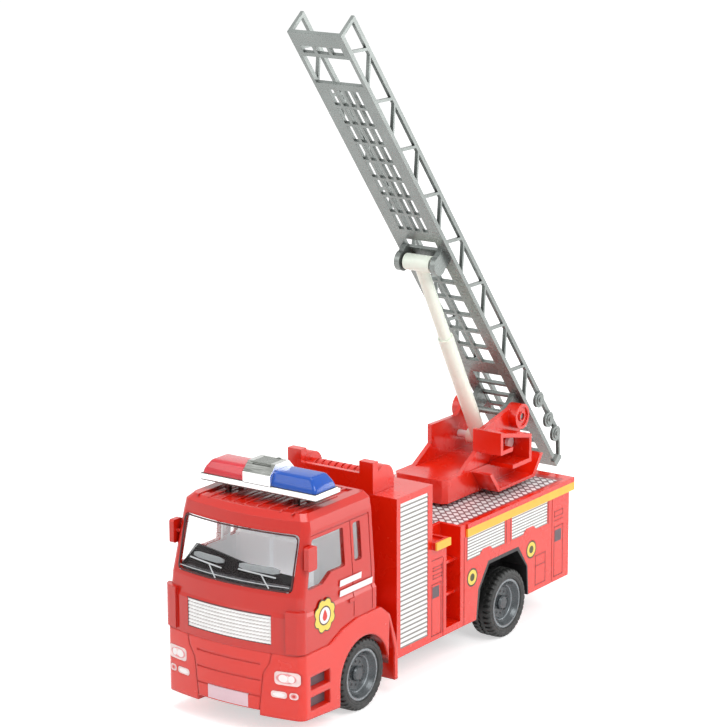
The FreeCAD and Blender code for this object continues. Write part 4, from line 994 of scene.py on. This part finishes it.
def screen_gasket(work):
    """Dark seal round the windscreen, with round corners."""
    low, high = node_box("windscreen")
    radius, margin, head_margin = 1.6, 0.35, 0.4
    corner_steps, spacing = 4, 2.0
    x, foot, head = high.x - margin - radius, low.z + margin + radius, high.z - head_margin - radius
    corners = []
    for centre_x, centre_z, start in ((x, head, 0), (-x, head, 90), (-x, foot, 180), (x, foot, 270)):
        for step in range(corner_steps + 1):
            angle = math.radians(start + 90 / corner_steps * step)
            corners.append((centre_x + radius * math.cos(angle), centre_z + radius * math.sin(angle)))
    path = closed_path(corners, lambda first, last: max(1, round(math.dist(first, last) / spacing)))
    tube(work, on_glass_line(path, behind=0.02), radius=0.27, steps=8)


# The line round the grille is painted shadow; the windscreen's seal is real
piece("grille_shadow_line", grille_shadow_line, "truck", extra["gasket_and_shadow"], 60)
piece("screen_gasket", screen_gasket, "truck", extra["gasket_and_shadow"], 60)


# Roof ribs and the light bar's trim

ROOF = node_box("cab_shell")[1].z
BAR_TOP = node_box("lightbar_base")[1].z


def roof_ribs(work):
    ribs, pitch, half_width = 9, 4.5, 0.3
    low, high = ROOF - 0.1, ROOF + 0.25
    front, rear, end_slope = FRONT_Y + 9.5, FRONT_Y + 33, 1.0
    for number in range(ribs):
        x = pitch * (number - (ribs - 1) / 2)
        prism(work, [(front, low), (rear, low), (rear - end_slope, high), (front + end_slope, high)],
              x - half_width, x + half_width)


def bar_window(work):
    """Grey plate with chamfered ends between two low rails."""
    plate_half, rail_half, rail_width, rail_chamfer = 3.3, 3.6, 0.3, 0.05
    low, plate_top, rail_top = BAR_TOP - 0.15, BAR_TOP + 0.03, BAR_TOP + 0.08
    front, rear, chamfer = FRONT_Y + 18.2, FRONT_Y + 24.0, 0.15
    prism(work, [(front, low), (rear, low), (rear - chamfer, plate_top), (front + chamfer, plate_top)],
          -plate_half, plate_half)
    for y0 in (front - 0.5, rear + 0.2):
        y1 = y0 + rail_width
        prism(work, [(y0, low), (y1, low), (y1 - rail_chamfer, rail_top), (y0 + rail_chamfer, rail_top)],
              -rail_half, rail_half)


def bar_knob(work):
    """Stepped knob behind the plate."""
    x, y = 1.6, FRONT_Y + 25.2
    for radius, top in ((0.8, BAR_TOP), (0.5, BAR_TOP + 0.18)):
        tube(work, [(x, y, BAR_TOP - 0.5), (x, y, top)], radius, steps=16)


piece("roof_ribs", roof_ribs, "truck", materials["cab_red"])
piece("bar_window", bar_window, "truck", extra["panel"])
piece("bar_knob", bar_knob, "truck", extra["panel"], 40)


# Caps on the ladder's pulleys

EAR = joint_place("ladder_lift")
# ALONG runs down the ladder, and AWAY is square to it, up and to the rear
LEAN = math.radians(52.15)
ALONG = Vector((0, math.cos(LEAN), -math.sin(LEAN)))
AWAY = Vector((0, math.sin(LEAN), math.cos(LEAN)))
PULLEYS_BELOW_EAR, PULLEY_RISE, PULLEY_FOOT = (6.4, 17.0, 24.6), 12.4, 10.9


def pulley_caps(work):
    """Disc and hub on each pulley."""
    for distance in PULLEYS_BELOW_EAR:
        centre = EAR + ALONG * distance + AWAY * PULLEY_RISE
        for radius, face in ((1.7, 11.25), (0.7, 11.6)):
            prism(work, circle((centre.y, centre.z), radius, steps=20), PULLEY_FOOT, face)


piece("pulley_caps", pulley_caps, "ladder", materials["ladder_grey"], 40)


# Camera at the photograph's viewing angle

AZIMUTH, ELEVATION, ROLL = (math.radians(angle) for angle in (35.19, 14.06, -0.18))
FOCAL_PIXELS, IMAGE_PIXELS = 2920.7, 727
CAMERA_DISTANCE = 931.5
CAMERA_TARGET = Vector((-5.92, -7.897, 96.64))
SENSOR = 36

back = Vector((math.sin(AZIMUTH) * math.cos(ELEVATION), -math.cos(AZIMUTH) * math.cos(ELEVATION),
               math.sin(ELEVATION)))
level = Vector((math.cos(AZIMUTH), math.sin(AZIMUTH), 0))
upward = back.cross(level)
right = level * math.cos(ROLL) + upward * math.sin(ROLL)
top = back.cross(right)
turned = Matrix((right, top, back)).transposed().to_4x4()
camera_data = bpy.data.cameras.new("camera")
camera_data.sensor_width = SENSOR
camera_data.lens = SENSOR * FOCAL_PIXELS / IMAGE_PIXELS
camera_data.clip_start = 0.05
camera_data.clip_end = 20
camera = bpy.data.objects.new("camera", camera_data)
camera.matrix_world = Matrix.Translation((CAMERA_TARGET + back * CAMERA_DISTANCE) * MM) @ turned
bpy.context.scene.collection.objects.link(camera)
bpy.context.scene.camera = camera


# Pale floor and studio light, in metres

FLOOR_REACH, FLOOR_GLOW, WORLD_LIGHT = 6.0, 0.56, 0.48


def seen_by_eye(tree):
    """1 for a ray from the camera, by gloss or through glass, and otherwise 0."""
    rays = tree.nodes.new("ShaderNodeLightPath")
    seen = rays.outputs["Is Camera Ray"]
    for kind in ("Is Glossy Ray", "Is Transmission Ray"):
        greater = tree.nodes.new("ShaderNodeMath")
        greater.operation = "MAXIMUM"
        tree.links.new(seen, greater.inputs[0])
        tree.links.new(rays.outputs[kind], greater.inputs[1])
        seen = greater.outputs[0]
    return seen


def show(tree, lighting, seen, output):
    """One shader for the light on the object and another for what is seen."""
    mixer = tree.nodes.new("ShaderNodeMixShader")
    for source, entry in zip((seen_by_eye(tree), lighting.outputs[0], seen.outputs[0]), mixer.inputs):
        tree.links.new(source, entry)
    tree.links.new(mixer.outputs[0], tree.nodes[output].inputs["Surface"])


def floor_material():
    paint = Nodes("floor")
    paint.set(Base_Color=grey(0.8), Roughness=0.9, Specular_IOR_Level=0.0)
    glow = paint.new("Emission")
    glow.inputs["Strength"].default_value = FLOOR_GLOW
    both = paint.new("AddShader")
    paint.join(paint.shader.outputs[0], both.inputs[0])
    paint.join(glow.outputs[0], both.inputs[1])
    show(paint.tree, paint.shader, both, "Material Output")
    return paint.material


def add_floor():
    mesh = bpy.data.meshes.new("floor")
    corners = [(x * FLOOR_REACH, y * FLOOR_REACH, 0) for x, y in ((-1, -1), (1, -1), (1, 1), (-1, 1))]
    mesh.from_pydata(corners, [], [(0, 1, 2, 3)])
    mesh.materials.append(floor_material())
    floor = bpy.data.objects.new("floor", mesh)
    bpy.context.scene.collection.objects.link(floor)


def add_world():
    world = bpy.data.worlds.new("studio")
    bpy.context.scene.world = world
    world.use_nodes = True
    tree = world.node_tree
    light = tree.nodes["Background"]
    white = tree.nodes.new("ShaderNodeBackground")
    for shader, strength in ((light, WORLD_LIGHT), (white, 1.0)):
        shader.inputs["Color"].default_value = grey(1)
        shader.inputs["Strength"].default_value = strength
    show(tree, light, white, "World Output")


def lamp(name, place, aim, size, power):
    data = bpy.data.lights.new(name, "AREA")
    data.shape = "DISK"
    data.size = size
    data.energy = power
    made = bpy.data.objects.new(name, data)
    made.location = place
    made.rotation_mode = "QUATERNION"
    made.rotation_quaternion = (Vector(aim) - Vector(place)).to_track_quat("-Z", "Y")
    bpy.context.scene.collection.objects.link(made)


add_floor()
add_world()
lamp("key", place=(0.9, -0.35, 0.9), aim=(0, 0, 0.08), size=0.7, power=7.5)
lamp("fill", place=(-0.6, -1.0, 0.7), aim=(0, 0, 0.08), size=0.9, power=3)
lamp("above", place=(0, 0.1, 1.3), aim=(0, 0, 0.08), size=0.9, power=7)
lamp("side", place=(0.75, 0.95, 0.12), aim=(0, 0, 0.05), size=0.9, power=5.5)
bpy.context.scene.view_settings.view_transform = "Standard"
